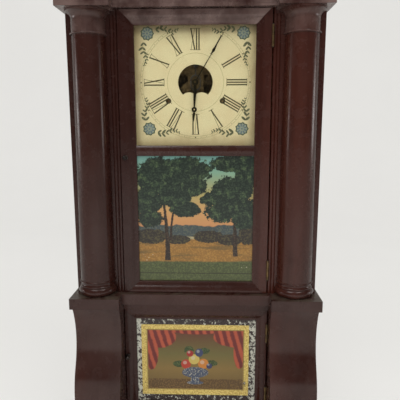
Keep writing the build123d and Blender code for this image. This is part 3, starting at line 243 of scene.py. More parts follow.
def veneer(name, grainAxis, redness=1.0, dustiness=1.0, hazeAndSheen=0.2, upperSheen=0.0, look=mahogany):
    shade = Shade(name)
    grain = shade.along(grainAxis, look["grainLength"])
    figure = shade.noise(*look["figure"], at=grain)
    streaks = shade.noise(*look["streaks"], at=grain)
    clouds = shade.noise(*look["clouds"], at=grain)
    pores = shade.noise(*look["pores"], at=shade.along(grainAxis, look["poreLength"]))
    colour = shade.mix(figure.above(*look["figureBand"]), look["dark"], look["brown"])
    patches = clouds.above(*look["redClouds"]) * figure.above(*look["redFigure"])
    colour = shade.mix(patches * (look["redShare"] * redness), colour, look["red"])
    # painted sheen: above the capitals' foot (capitals, the door's top rail, the frieze) the veneer is
    # lightened as if it caught the overhead lamps
    upper = (shade.z * perMetre).above(*look["capitalFoot"]) * upperSheen
    hazeAndSheenFilm = (upper + hazeAndSheen) * shade.noise(*look["hazeAndSheenFilm"]).above(*look["hazeAndSheenBand"])
    colour = shade.mix(hazeAndSheenFilm.least(look["hazeAndSheenLimit"]), colour, look["hazeAndSheen"])
    colour = shade.mix(streaks.above(*look["streakBand"]) * look["streakShare"], colour, look["dark"])
    settled = shade.facing("Z").above(*look["upward"])
    settled = settled * shade.noise(*look["settling"]).above(*look["settlingBand"])
    settled = settled * (look["dustShare"] * dustiness)
    colour = shade.mix(settled, colour, look["dust"])
    specks = shade.cells(look["speckScale"]).below(*look["speckBand"])
    specks = specks * shade.noise(*look["speckPatches"]).above(*look["speckPatchBand"])
    colour = shade.mix(specks * look["speckShare"], colour, look["dust"])
    worn = shade.noise(*look["wear"]).above(*look["wearBand"]) * look["wornRoughness"]
    height = pores * look["poreRelief"] + shade.noise(*look["grit"]) * look["gritRelief"]
    height = height + figure * look["figureRelief"]
    return shade.close({
        "Base Color": colour,
        "Roughness": look["roughness"] + worn + settled * look["dustRoughness"],
        "Coat Weight": look["coat"],
        "Specular IOR Level": look["shine"],
        "Coat Roughness": look["coatRoughness"],
        "Normal": shade.bump(height, look["relief"], look["reliefStrength"], look["edgeRound"]),
    })


oldPine = {
    "pale": tint(158, 122, 82),
    "dark": tint(96, 66, 42),
    "stain": tint(62, 46, 36),
    "grainLength": 0.06,
    "rings": (34, 3, 0.5),
    "ringBand": (0.38, 0.62),
    "fibres": (420, 3, 0.6),
    "fibreBand": (0.45, 0.7),
    "fibreShare": 0.5,
    "stains": (7, 4, 0.65),
    "stainBand": (0.45, 0.75),
    "stainShare": 0.8,
    "roughness": 0.7,
    "fibreRoughness": 0.25,
    "ringRelief": 0.5,
    "relief": 0.25 * mm,
}


def pine(name, grainAxis, look=oldPine):
    shade = Shade(name)
    grain = shade.along(grainAxis, look["grainLength"])
    rings = shade.noise(*look["rings"], at=grain)
    fibres = shade.noise(*look["fibres"], at=grain)
    colour = shade.mix(rings.above(*look["ringBand"]), look["pale"], look["dark"])
    colour = shade.mix(fibres.above(*look["fibreBand"]) * look["fibreShare"], colour, look["dark"])
    stains = shade.noise(*look["stains"]).above(*look["stainBand"]) * look["stainShare"]
    return shade.close({
        "Base Color": shade.mix(stains, colour, look["stain"]),
        "Roughness": look["roughness"] + fibres * look["fibreRoughness"],
        "Normal": shade.bump(fibres + rings * look["ringRelief"], look["relief"]),
    })


metalWear = {
    "blotches": (95, 4, 0.65),
    "tarnishBand": (0.35, 0.7),
    "dullBand": (0.45, 0.8),
    "dullShare": 0.25,
    "blotchRoughness": 0.22,
    "scratches": (900, 2, 0.6),
    "relief": 0.03 * mm,
    "reliefStrength": 0.5,
}


def metal(name, colour, tarnish, roughness, brushed, metallic=1.0, look=metalWear):
    shade = Shade(name)
    blotch = shade.noise(*look["blotches"])
    scratch = shade.noise(*look["scratches"], at=shade.scaled(brushed))
    return shade.close({
        "Base Color": shade.mix(blotch.above(*look["tarnishBand"]), colour, tarnish),
        "Metallic": metallic - blotch.above(*look["dullBand"]) * look["dullShare"],
        "Roughness": roughness + blotch * look["blotchRoughness"],
        "Normal": shade.bump(scratch, look["relief"], look["reliefStrength"]),
    })


oldGlass = {
    "ripples": (9, 2, 0.4),
    "relief": 1.2 * mm,
    "reliefStrength": 0.25,
    "smears": (28, 4, 0.7),
    "smearBand": (0.55, 0.85),
    "smearShare": 0.02,
    "bending": 1.42,
    "through": (0.985, 0.99, 0.97, 1),
    "roughness": 0.04,
}


def clearGlass(name, look=oldGlass):
    shade = Shade(name)
    normal = shade.bump(shade.noise(*look["ripples"]), look["relief"], look["reliefStrength"])
    smear = shade.noise(*look["smears"]).above(*look["smearBand"]) * look["smearShare"]
    outside = 1 - shade.node("ShaderNodeNewGeometry", out="Backfacing")
    mirrored = shade.node("ShaderNodeFresnel", {}, {"IOR": look["bending"], "Normal": normal})
    through = shade.node("ShaderNodeBsdfTransparent", {}, {"Color": look["through"]})
    gloss = shade.node("ShaderNodeBsdfGlossy", {}, {"Roughness": look["roughness"], "Normal": normal})
    return shade.close({0: mirrored * outside + smear, 1: through, 2: gloss}, "ShaderNodeMixShader")


# Dial: old cream paint, brown towards its edges, and darkened at its top by a painted shadow of the door's
# top rail. Centre, front and reach are in millimetres.
dialLook = {
    "centre": (0.0, 676.5),
    "front": 1.25,
    "reach": 104.0,
    "paintThickness": 0.04,
    "cream": tint(221, 209, 167),
    "warm": tint(218, 202, 160),
    "age": tint(168, 146, 106),
    # colour of the painted shadow that the door's top rail casts on the dial's top
    "railShadowTint": tint(112, 92, 66),
    "ink": tint(74, 66, 38),
    "line": tint(150, 142, 96),
    "mottle": (26, 4, 0.6),
    "warmBand": (0.35, 0.7),
    "ageRagged": 0.3,
    "ageInset": 0.15,
    "ageBand": (0.8, 1.12),
    "ageShare": 0.7,
    # painted shadow from the door's top rail: its ragged edge, the band above the centre where it falls
    # (millimetres), and its strength
    "railShadowRagged": 6,
    "railShadowBand": (82, 94),
    "railShadowShare": 0.6,
    "crackScale": 260,
    "crackBand": (0.01, 0.05),
    "crackPatches": (40, 2),
    "crackPatchBand": (0.5, 0.7),
    "crackShare": 0.35,
    "speckScale": 330,
    "speckBand": (0.06, 0.13),
    "speckPatches": (60, 2),
    "speckPatchBand": (0.62, 0.7),
    "speckShare": 0.6,
    "roughness": 0.48,
    "mottleRoughness": 0.2,
    "grit": (180, 3),
    "relief": 0.08 * mm,
}


def dialPaint(name, look=dialLook):
    shade = Shade(name)
    height = shade.z * perMetre - look["centre"][1]
    edge = ((shade.x * perMetre).size() / look["reach"]).most(height.size() / look["reach"])
    mottle = shade.noise(*look["mottle"])
    colour = shade.mix(mottle.above(*look["warmBand"]), look["cream"], look["warm"])
    aged = (edge + mottle * look["ageRagged"] - look["ageInset"]).above(*look["ageBand"])
    colour = shade.mix(aged * look["ageShare"], colour, look["age"])
    # painted shadow: darker towards the top, where the door's top rail shades the dial
    railShadow = (height + mottle * look["railShadowRagged"]).above(*look["railShadowBand"])
    colour = shade.mix(railShadow * look["railShadowShare"], colour, look["railShadowTint"])
    cracks = shade.cells(look["crackScale"], "DISTANCE_TO_EDGE").below(*look["crackBand"])
    cracks = cracks * shade.noise(*look["crackPatches"]).above(*look["crackPatchBand"])
    colour = shade.mix(cracks * look["crackShare"], colour, look["age"])
    specks = shade.cells(look["speckScale"]).below(*look["speckBand"])
    specks = specks * shade.noise(*look["speckPatches"]).above(*look["speckPatchBand"])
    return shade.close({
        "Base Color": shade.mix(specks * look["speckShare"], colour, look["ink"]),
        "Roughness": look["roughness"] + mottle * look["mottleRoughness"],
        "Normal": shade.bump(shade.noise(*look["grit"]), look["relief"]),
    })


# Pictures painted on the backs of the glasses, in millimetres from the middle of each opening.
# An oval is its middle, half width and half height, and a frame its left, right, bottom and top.
# A trunk is where its foot and its top are across, its lower and upper end and its width.
brushwork = {
    "leafy": (105, 5, 0.72),
    "leafyMiddle": 0.5,
    "clumpBand": (0.86, 1.0),
    "straightBand": (-0.3, 0.3),
    "trunkBand": (-0.4, 0.4),
    "trunkRagged": 5,
    "trunkTaper": 1.15,
    "anywhere": 120,
    "dabs": (340, 3, 0.6),
    "dabBand": (0.46, 0.62),
    "roughness": 0.2,
    "dabRoughness": 0.1,
    "ripples": (12, 2),
    "relief": 0.6 * mm,
    "reliefStrength": 0.3,
}


class Picture(Shade):
    def __init__(self, name, height):
        super().__init__(name)
        self.u = self.x * perMetre
        self.v = self.z * perMetre - height
        self.leafy = self.noise(*brushwork["leafy"]) - brushwork["leafyMiddle"]
        self.dabs = self.noise(*brushwork["dabs"])

    def clump(self, ovals, ragged):  # where any of the ovals lies, with a leafy edge
        nearest = None
        for u, v, across, up in ovals:
            right = (self.u - u) / across
            above = (self.v - v) / up
            distance = right * right + above * above
            nearest = distance if nearest is None else nearest.least(distance)
        return (nearest + self.leafy * ragged).below(*brushwork["clumpBand"])

    def between(self, value, low, high):
        return ((value - (low + high) / 2).size() - (high - low) / 2).below(*brushwork["straightBand"])

    def within(self, left, right, bottom, top):
        return self.between(self.u, left, right) * self.between(self.v, bottom, top)

    def trunk(self, foot, top, low, high, width):  # a leaning stem that thins upward
        rise = (self.v - low) / (high - low)
        middle = foot + rise * rise * (top - foot) + self.leafy * brushwork["trunkRagged"]
        half = width * (brushwork["trunkTaper"] - rise) / 2
        stem = ((self.u - middle).size() - half).below(*brushwork["trunkBand"])
        return stem * self.within(-brushwork["anywhere"], brushwork["anywhere"], low, high)

    def dabbed(self, dark, light, band=brushwork["dabBand"]):
        return self.mix(self.dabs.above(*band), dark, light)

    def glazed(self, colour):
        ripples = self.noise(*brushwork["ripples"])
        return self.close({
            "Base Color": colour,
            "Roughness": brushwork["roughness"] + self.dabs * brushwork["dabRoughness"],
            "Normal": self.bump(ripples, brushwork["relief"], brushwork["reliefStrength"]),
        })


landscape = {
    "height": 428.5,
    "sky": [
        (0.0, tint(186, 128, 84)),
        (0.28, tint(190, 146, 92)),
        (0.52, tint(158, 150, 94)),
        (0.78, tint(120, 156, 132)),
        (1.0, tint(104, 150, 142)),
    ],
    "horizon": -22,
    "skyHeight": 140,
    "skyRagged": 0.08,
    "waves": (17, 3, 0.5),
    "levelBand": (-1, 1),
    "hills": (tint(60, 70, 72), tint(84, 90, 78)),
    "hillRise": 44,
    "hillDrop": 10,
    "water": (tint(150, 142, 108), tint(176, 160, 122)),
    "waterBand": (-33, -31),
    "field": (tint(136, 99, 48), tint(162, 120, 58)),
    "fieldDrop": 44,
    "fieldRise": 14,
    "furrows": (60, 4, 0.6),
    "furrowStretch": [0.25, 1, 2],
    "furrowBand": (0.5, 0.66),
    "furrowShare": 0.6,
    "bushes": (tint(44, 38, 34), tint(76, 70, 46)),
    "scrub": [
        (-84, -32, 32, 15),
        (-34, -38, 24, 9),
        (24, -32, 30, 12),
        (64, -38, 24, 11),
        (98, -28, 20, 20),
    ],
    "scrubRagged": 1.2,
    "bank": (tint(68, 75, 46), tint(88, 96, 57)),
    "bankDrop": 84,
    "bankRise": 8,
    "bankBand": (-2, 2),
    "ruleDrop": 103,
    "ruleHalf": 0.6,
    "ruleBand": (-0.3, 0.3),
    "bark": (tint(40, 32, 28), tint(70, 54, 40)),
    "trunks": [(-52, -64, -78, 70, 9), (-46, -22, -40, 84, 4.5), (74, 66, -70, 60, 8)],
    "leftTree": [
        (-62, 78, 50, 40),
        (-16, 90, 48, 27),
        (-88, 34, 28, 28),
        (-38, 42, 34, 21),
        (-4, 60, 26, 18),
        (-84, 2, 24, 18),
        (-20, 20, 30, 16),
    ],
    "rightTree": [
        (66, 52, 42, 30),
        (88, 14, 28, 32),
        (48, 14, 32, 20),
        (28, 38, 20, 14),
        (96, 88, 26, 34),
        (62, 104, 40, 15),
    ],
    "treeRagged": 2.2,
    "leaves": (tint(28, 38, 32), tint(46, 60, 46)),
    "brightLeaves": (tint(44, 60, 44), tint(76, 92, 60)),
    "sunlight": (74, 3, 0.6),
    "sunlitBand": (0.5, 0.62),
    "flowers": tint(206, 196, 168),
    "petalScale": 150,
    "petalBand": (0.1, 0.16),
    "petalPatches": (30, 2),
    "petalPatchBand": (0.56, 0.64),
    "petalTop": (-70, -60),
    "grime": (22, 5, 0.7),
    "grimeBand": (0.56, 0.8),
    "grimeShare": 0.3,
}


def paintLandscape(name, look=landscape):
    art = Picture(name, look["height"])
    level = look["levelBand"]
    wave = art.noise(*look["waves"], at=art.scaled([1, 0, 0]))
    rise = (art.v - look["horizon"]) / look["skyHeight"]
    colour = art.ramp(rise + art.leafy * look["skyRagged"], look["sky"])
    far = (art.v - look["horizon"] - wave * look["hillRise"] + look["hillDrop"]).below(*level)
    colour = art.mix(far, colour, art.dabbed(*look["hills"]))
    colour = art.mix(art.v.below(*look["waterBand"]), colour, art.dabbed(*look["water"]))
    shore = (art.v + look["fieldDrop"] - wave * look["fieldRise"]).below(*level)
    colour = art.mix(shore, colour, art.dabbed(*look["field"]))
    furrows = art.noise(*look["furrows"], at=art.scaled(look["furrowStretch"]))
    furrows = furrows.above(*look["furrowBand"]) * shore
    colour = art.mix(furrows * look["furrowShare"], colour, look["bushes"][1])
    scrub = art.clump(look["scrub"], look["scrubRagged"])
    colour = art.mix(scrub, colour, art.dabbed(*look["bushes"]))
    bank = (art.v + look["bankDrop"] - wave * look["bankRise"]).below(*look["bankBand"])
    colour = art.mix(bank, colour, art.dabbed(*look["bank"]))
    rule = ((art.v + look["ruleDrop"]).size() - look["ruleHalf"]).below(*look["ruleBand"])
    colour = art.mix(rule, colour, look["bark"][0])
    for trunk in look["trunks"]:
        colour = art.mix(art.trunk(*trunk), colour, art.dabbed(*look["bark"]))
    sunlit = art.noise(*look["sunlight"]).above(*look["sunlitBand"])
    leaves = art.mix(sunlit, art.dabbed(*look["leaves"]), art.dabbed(*look["brightLeaves"]))
    for tree in ("leftTree", "rightTree"):
        colour = art.mix(art.clump(look[tree], look["treeRagged"]), colour, leaves)
    petals = art.cells(look["petalScale"]).below(*look["petalBand"])
    petals = petals * art.noise(*look["petalPatches"]).above(*look["petalPatchBand"])
    colour = art.mix(petals * art.v.below(*look["petalTop"]), colour, look["flowers"])
    grime = art.noise(*look["grime"]).above(*look["grimeBand"]) * look["grimeShare"]
    return art.glazed(art.mix(grime, colour, look["bark"][0]))


fruitPiece = {
    "height": 144.25,
    "margin": (tint(44, 34, 34), tint(64, 52, 50)),
    "edgeReach": 116,
    "edgeBand": (0.82, 1.0),
    "edgeFlakes": 0.1,
    "flake": tint(196, 196, 182),
    "flakes": (150, 5, 0.75),
    "flakeBand": (0.55, 0.6),
    "border": (-107, 103, -74, 74.3),
    "gold": (tint(182, 150, 74), tint(224, 202, 118)),
    "goldDabs": (0.35, 0.6),
    "goldSpeck": tint(120, 92, 48),
    "specks": (620, 3, 0.7),
    "speckBand": (0.56, 0.64),
    "speckShare": 0.7,
    "goldWear": (60, 4, 0.7),
    "goldWearBand": (0.62, 0.7),
    "rule": (-97, 94, -63, 64.7),
    "ruleShare": 0.8,
    "picture": (-95, 92, -61, 62.7),
    "ground": [
        (0.0, tint(104, 84, 48)),
        (0.35, tint(128, 104, 58)),
        (0.6, tint(104, 96, 54)),
        (1.0, tint(92, 50, 38)),
    ],
    "groundDrop": 61,
    "groundHeight": 124,
    "groundRagged": 0.1,
    "table": (tint(88, 66, 40), tint(118, 92, 52)),
    "tableDrop": 40,
    "tableRagged": 4,
    "tableBand": (-1, 1),
    "drape": (tint(104, 42, 38), tint(170, 80, 56)),
    "drapes": [(-78, 48, 40, 24), (-88, 14, 14, 36), (74, 50, 42, 22), (86, 16, 13, 34), (0, 66, 60, 12)],
    "drapeRagged": 0.5,
    "foldsAcross": 0.42,
    "foldsUp": 0.12,
    "foldRagged": 3,
    "foldBand": (-0.6, 0.8),
    "leaf": (tint(52, 66, 38), tint(88, 98, 56)),
    "leaves": [(-34, -8, 12, 7), (30, -6, 13, 7), (-14, 22, 10, 8), (16, 20, 11, 7)],
    "leafRagged": 1.4,
    "fruits": [
        ((-20, -8, 10, 10), tint(168, 62, 46)),
        ((14, -7, 11, 11), tint(188, 120, 52)),
        ((-4, 2, 11, 11), tint(190, 168, 90)),
        ((6, 16, 8, 9), tint(60, 66, 96)),
        ((-12, 14, 7, 7), tint(150, 48, 42)),
        ((26, -12, 6, 6), tint(58, 60, 88)),
    ],
    "fruitRagged": 0.3,
    "shineShift": (-2, 3),
    "shineSize": 0.4,
    "shineRagged": 0.6,
    "shineShare": 0.4,
    "bowl": (tint(70, 78, 96), tint(196, 190, 168)),
    "bowlDabs": (0.5, 0.7),
    "bowlParts": [(-2, -26, 27, 12), (-2, -42, 9, 9), (-2, -48, 17, 4)],
    "bowlRagged": 0.2,
}


def paintFruit(name, look=fruitPiece):
    art = Picture(name, look["height"])
    colour = art.dabbed(*look["margin"])
    edge = (art.u.size() / look["edgeReach"]).above(*look["edgeBand"]) * look["edgeFlakes"]
    flakes = (art.noise(*look["flakes"]) + edge).above(*look["flakeBand"])
    colour = art.mix(flakes, colour, look["flake"])
    gold = art.dabbed(*look["gold"], look["goldDabs"])
    specks = art.noise(*look["specks"]).above(*look["speckBand"]) * look["speckShare"]
    gold = art.mix(specks, gold, look["goldSpeck"])
    kept = art.noise(*look["goldWear"]).below(*look["goldWearBand"])
    colour = art.mix(art.within(*look["border"]) * kept, colour, gold)
    rise = (art.v + look["groundDrop"]) / look["groundHeight"]
    inner = art.ramp(rise + art.leafy * look["groundRagged"], look["ground"])
    table = (art.v + look["tableDrop"] + art.leafy * look["tableRagged"]).below(*look["tableBand"])
    inner = art.mix(table, inner, art.dabbed(*look["table"]))
    folds = art.u * look["foldsAcross"] + art.v * look["foldsUp"] + art.leafy * look["foldRagged"]
    drape = art.mix(folds.sine().above(*look["foldBand"]), *look["drape"])
    inner = art.mix(art.clump(look["drapes"], look["drapeRagged"]), inner, drape)
    leaves = art.clump(look["leaves"], look["leafRagged"])
    inner = art.mix(leaves, inner, art.dabbed(*look["leaf"]))
    right, up = look["shineShift"]
    for (u, v, across, high), skin in look["fruits"]:
        spot = (u + right, v + up, across * look["shineSize"], high * look["shineSize"])
        inner = art.mix(art.clump([(u, v, across, high)], look["fruitRagged"]), inner, skin)
        shine = art.clump([spot], look["shineRagged"]) * look["shineShare"]
        inner = art.mix(shine, inner, look["flake"])
    bowl = art.clump(look["bowlParts"], look["bowlRagged"])
    inner = art.mix(bowl, inner, art.dabbed(*look["bowl"], look["bowlDabs"]))
    colour = art.mix(art.within(*look["picture"]), colour, inner)
    rule = art.within(*look["rule"]) - art.within(*look["picture"])
    return art.glazed(art.mix(rule * look["ruleShare"], colour, look["goldSpeck"]))


rubbedPaint = {
    "rub": (520, 4, 0.7),
    "rubBand": (0.46, 0.72),
    "roughness": 0.5,
    "rubRoughness": 0.2,
    "relief": 0.03 * mm,
}


def brushPaint(name, colour, worn, share, look=rubbedPaint):
    shade = Shade(name)
    rub = shade.noise(*look["rub"])
    return shade.close({
        "Base Color": shade.mix(rub.above(*look["rubBand"]) * share, colour, worn),
        "Roughness": look["roughness"] + rub * look["rubRoughness"],
        "Normal": shade.bump(rub, look["relief"]),
    })


wood = {
    # The haze share lightens grey patches, partly a shellac bloom and partly painted sheen; the upper
    # share is painted sheen above the capitals' foot.
    "vertical": veneer("veneerVertical", "Z", redness=1.2, hazeAndSheen=0.04),
    "level": veneer("veneerLevel", "X", hazeAndSheen=0.08, upperSheen=1.0),
    "column": veneer("veneerColumn", "Z", dustiness=0.6, hazeAndSheen=0.05, upperSheen=0.4),
    "scroll": veneer("veneerScroll", "Z", redness=0.6, hazeAndSheen=0.16),
    "crown": veneer("veneerCrown", "Z", redness=0.8, hazeAndSheen=0.45),
    "shelf": veneer("veneerShelf", "X", redness=0.6, dustiness=1.5, hazeAndSheen=0.15),
}
paint = {
    "dial": dialPaint("dialCream"),
    "ink": brushPaint("numeralInk", dialLook["ink"], tint(120, 110, 70), 0.35),
    "line": brushPaint("fadedLine", dialLook["line"], dialLook["cream"], 0.8),
    "leaf": brushPaint("leafGreen", tint(84, 88, 62), tint(150, 146, 104), 0.6),
    "rim": brushPaint("rosetteRim", tint(72, 84, 66), tint(124, 128, 98), 0.5),
    "petal": brushPaint("rosetteBlue", tint(138, 148, 134), tint(178, 174, 146), 0.8),
    "petalShade": brushPaint("rosetteShade", tint(94, 112, 122), tint(138, 148, 138), 0.6),
}
# How the scratches run: a small share draws them out along that axis
turned = [1, 0.05, 1]
filed = [1, 1, 0.1]
cast = [1, 1, 1]
steel = metal("greySteel", tint(120, 118, 114), tint(70, 62, 54), 0.34, turned)
brass = metal("oldBrass", tint(150, 126, 88), tint(84, 70, 52), 0.38, turned)
blued = metal("bluedSteel", tint(62, 56, 40), tint(44, 40, 30), 0.4, filed)
darkMetal = metal("darkMetal", tint(92, 86, 84), tint(40, 34, 32), 0.24, filed)
iron = metal("blackIron", tint(52, 50, 48), tint(78, 56, 42), 0.6, cast, metallic=0.7)
drumWood = pine("drumWood", "Y")

finishes = {
    "front_stiles door_bead_strips upper_door_stiles lower_door_stiles side_boards": wood["vertical"],
    "front_cross_rails upper_door_rails lower_door_rails cornice_frieze": wood["level"],
    "left_column right_column": wood["column"],
    "left_scroll_pilaster right_scroll_pilaster": wood["scroll"],
    "crown_moulding": wood["crown"],
    "mid_shelf base_plinth": wood["shelf"],
    "back_boards": pine("backPine", "Z"),
    "top_board bottom_board dial_cleats mounting_board": pine("innerPine", "X"),
    "upper_glass_beads lower_glass_beads": pine("beadPine", "Z"),
    "dial_glass": clearGlass("oldGlass"),
    "tablet_glass": paintLandscape("paintedLandscape"),
    "lower_tablet_glass": paintFruit("paintedFruit"),
    "dial_plate": paint["dial"],
    "minute_hand hour_hand": blued,
    "upper_latch lower_latch": darkMetal,
    "case_hinge_leaves upper_door_hinge_leaves lower_door_hinge_leaves movement_frame": brass,
    "cannon_pinion hour_wheel minute_wheel time_main_wheel time_second_wheel": brass,
    "time_third_wheel escape_wheel strike_main_wheel strike_pin_wheel strike_fly": brass,
    "pendulum_bob": brass,
    "hinge_pins verge pendulum_rod hammer bell": steel,
    "time_drum strike_drum left_pulley right_pulley": drumWood,
    "left_weight right_weight": iron,
}
print("materials ready")


def dress(names, material):
    for name in names.split():
        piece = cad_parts[name]
        if not piece.material_slots:
            piece.data.materials.append(material)
        for slot in piece.material_slots:
            slot.material = material


for names, material in finishes.items():
    dress(names, material)
print("nodes dressed")


# The weights' cords: three strands. Sizes in millimetres.
cords = {
    "right": 1,
    "left": -1,
    "at": (172.0, 33.25),
    "ends": (190.0, 810.05),
    "radius": 0.8,
    "strands": 3,
    "strandDepth": 0.2,
    "twist": 5.5,
    "sides": 12,
    "ring": 1.2,
    "keep": 0.1131,
    "pale": tint(118, 100, 72),
    "dark": tint(78, 62, 44),
    "fuzz": (1400, 3, 0.7),
    "fuzzBand": (0.35, 0.65),
    "roughness": 0.85,
    "fuzzRoughness": 0.1,
    "relief": 0.2 * mm,
}


def cordFibre(name, look=cords):
    shade = Shade(name)
    fuzz = shade.noise(*look["fuzz"])
    return shade.close({
        "Base Color": shade.mix(fuzz.above(*look["fuzzBand"]), look["pale"], look["dark"]),
        "Roughness": look["roughness"] + fuzz * look["fuzzRoughness"],
        "Normal": shade.bump(fuzz, look["relief"]),
    })


def layCord(side, material, look=cords):
    low, high = look["ends"]
    sides, strands = look["sides"], look["strands"]
    rings = round((high - low) / look["ring"])
    verts = []
    for ring in range(rings + 1):
        height = low + (high - low) * ring / rings
        for step in range(sides):
            angle = 2 * pi * step / sides
            lobe = abs(cos(strands / 2 * (angle - 2 * pi * height / look["twist"] / strands)))
            reach = look["radius"] * (1 - look["strandDepth"] * (1 - lobe))
            x = look[side] * look["at"][0] + reach * cos(angle)
            verts.append((x * mm, (look["at"][1] + reach * sin(angle)) * mm, height * mm))
    faces = []
    for ring in range(rings):
        foot, top = ring * sides, (ring + 1) * sides
        for step in range(sides):
            after = (step + 1) % sides
            faces.append((foot + step, foot + after, top + after, top + step))
    faces.append(tuple(reversed(range(sides))))
    faces.append(tuple(range(rings * sides, (rings + 1) * sides)))
    mesh = bpy.data.meshes.new(side + "Cord")
    mesh.from_pydata(verts, [], faces)
    mesh.polygons.foreach_set("use_smooth", [True] * len(faces))
    piece = bpy.data.objects.new(side + "Cord", mesh)
    bpy.context.scene.collection.objects.link(piece)
    piece.data.materials.append(material)
    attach(piece, "case")
    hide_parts(side + "_weight_cord")
    anchor = (look[side] * look["at"][0] * mm, look["at"][1] * mm, high * mm)
    side + "_weight_fall"
    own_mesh(piece)


fibre = cordFibre("twistedCord")
dress("weight_cord_runs left_weight_cord right_weight_cord", fibre)
for side in ("left", "right"):
    layCord(side, fibre)
print("cords laid")


# Painting on the dial: flat shapes in millimetres about its centre
class Ink:
    def __init__(self, name, material, lift):
        self.name = name
        self.material = material
        self.lift = lift
        self.points = []
        self.faces = []

    def area(self, outline, turn=0.0, at=(0.0, 0.0)):
        first = len(self.points)
        for u, v in outline:
            across = at[0] + u * cos(turn) - v * sin(turn)
            self.points.append((across, at[1] + u * sin(turn) + v * cos(turn)))
        self.faces.append(tuple(range(first, len(self.points))))

    def stroke(self, start, end, width, turn=0.0):
        start, end = Vector(start), Vector(end)
        along = end - start
        side = Vector((-along.y, along.x)).normalized() * width / 2
        self.area([tuple(corner) for corner in (start - side, end - side, end + side, start + side)], turn)

    def ring(self, radius, width, steps):
        near, far = radius - width / 2, radius + width / 2
        for step in range(steps):
            a, b = 2 * pi * step / steps, 2 * pi * (step + 1) / steps
            self.area([
                (far * cos(a), far * sin(a)),
                (far * cos(b), far * sin(b)),
                (near * cos(b), near * sin(b)),
                (near * cos(a), near * sin(a)),
            ])

    def disc(self, at, radius, steps, lobes=0, depth=0.0, squash=1.0, turn=0.0):
        outline = []
        for step in range(steps):
            angle = 2 * pi * step / steps
            reach = radius * (1 - depth * abs(sin(lobes * angle / 2)))
            outline.append((reach * cos(angle), reach * sin(angle) * squash))
        self.area(outline, turn, at)

    def lay(self):
        centre, front = dialLook["centre"], dialLook["front"]
        mesh = bpy.data.meshes.new(self.name)
        verts = [
            ((centre[0] + u) * mm, (front - self.lift) * mm, (centre[1] + v) * mm) for u, v in self.points
        ]
        mesh.from_pydata(verts, [], self.faces)
        piece = bpy.data.objects.new(self.name, mesh)
        bpy.context.scene.collection.objects.link(piece)
        solid = piece.modifiers.new("thickness", "SOLIDIFY")
        solid.thickness = dialLook["paintThickness"] * mm
        piece.data.materials.append(self.material)
        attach(piece, "case")


numerals = {
    "names": ["XII", "I", "II", "III", "IIII", "V", "VI", "VII", "VIII", "IX", "X", "XI"],
    "foot": 56.0,
    "top": 92.0,
    "advance": {"I": 4.3, "V": 9.0, "X": 9.0},
    "margin": 1.2,
    "thick": 2.3,
    "thin": 0.7,
    "serif": 0.8,
    "serifReach": 0.4,
    "lift": 0.14,
    "hairLift": 0.1,
}


def drawNumerals(look=numerals):
    ink = Ink("numerals", paint["ink"], look["lift"])
    faint = Ink("numeralHairs", paint["ink"], look["hairLift"])
    foot, top = look["foot"], look["top"]
    for hour, name in enumerate(look["names"]):
        turn = -2 * pi * hour / len(look["names"])
        width = sum(look["advance"][letter] for letter in name)
        left = -width / 2
        for letter in name:
            step = look["advance"][letter]
            near, far = left + look["margin"], left + step - look["margin"]
            middle = left + step / 2
            left += step
            if letter == "I":
                ink.stroke((middle, foot), (middle, top), look["thick"], turn)
            if letter == "V":
                ink.stroke((near, top), (middle, foot), look["thick"], turn)
                faint.stroke((far, top), (middle, foot), look["thin"], turn)
            if letter == "X":
                ink.stroke((near, top), (far, foot), look["thick"], turn)
                faint.stroke((far, top), (near, foot), look["thin"], turn)
        reach = width / 2 + look["serifReach"]
        for level in (foot, top):
            faint.stroke((-reach, level), (reach, level), look["serif"], turn)
    ink.lay()
    faint.lay()


rings = {
    "outer": 99.3,
    "track": 95.5,
    "inner": 50.5,
    "line": 0.55,
    "steps": 180,
    "lineLift": 0.08,
    "minutes": 60,
    "everyHour": 5,
    "dot": 1.3,
    "minuteDot": 0.55,
    "dotSteps": 12,
    "dotLift": 0.1,
}


def drawRings(look=rings):
    lines = Ink("minuteRings", paint["line"], look["lineLift"])
    dots = Ink("minuteDots", paint["ink"], look["dotLift"])
    for key in ("outer", "track", "inner"):
        lines.ring(look[key], look["line"], look["steps"])
    middle = (look["outer"] + look["track"]) / 2
    for minute in range(look["minutes"]):
        angle = 2 * pi * minute / look["minutes"]
        size = look["dot"] if minute % look["everyHour"] == 0 else look["minuteDot"]
        dots.disc((middle * cos(angle), middle * sin(angle)), size, look["dotSteps"])
    lines.lay()
    dots.lay()


corners = {
    "places": [(-85, 84), (85, 84), (84, -82), (-84, -82)],
    "lifts": {"rim": 0.08, "petals": 0.12, "shades": 0.16, "leaves": 0.1},
    "radius": 12.5,
    "lobes": 9,
    "scallop": 0.14,
    "steps": 72,
    "rimWidth": 2.4,
    "petalAt": 6.6,
    "petalLength": 2.9,
    "petalSquash": 0.5,
    "petalSteps": 16,
    "boss": {"radius": 3.0, "steps": 24, "lobes": 6, "depth": 0.2},
    "eye": 1.7,
    "leaves": 7,
    "leafStart": 3,
    "leafStep": 8.2,
    "leafCrowding": 0.04,
    "sway": 2.6,
    "swayTurn": 1.25,
    "swayStart": 6.5,
    "swayDrop": 0.5,
    "stem": 0.5,
    "lean": 0.75,
    "leanSpread": 0.2,
    "leafLength": 4.6,
    "leafSizes": (1.05, 0.1),  # the first leaf, and how much smaller each next one is
    "leafSpread": (0.8, 1.15),
    "leafReach": 0.9,
    "leafSquash": 0.42,
    "leafSteps": 14,
    "seed": 4,
}


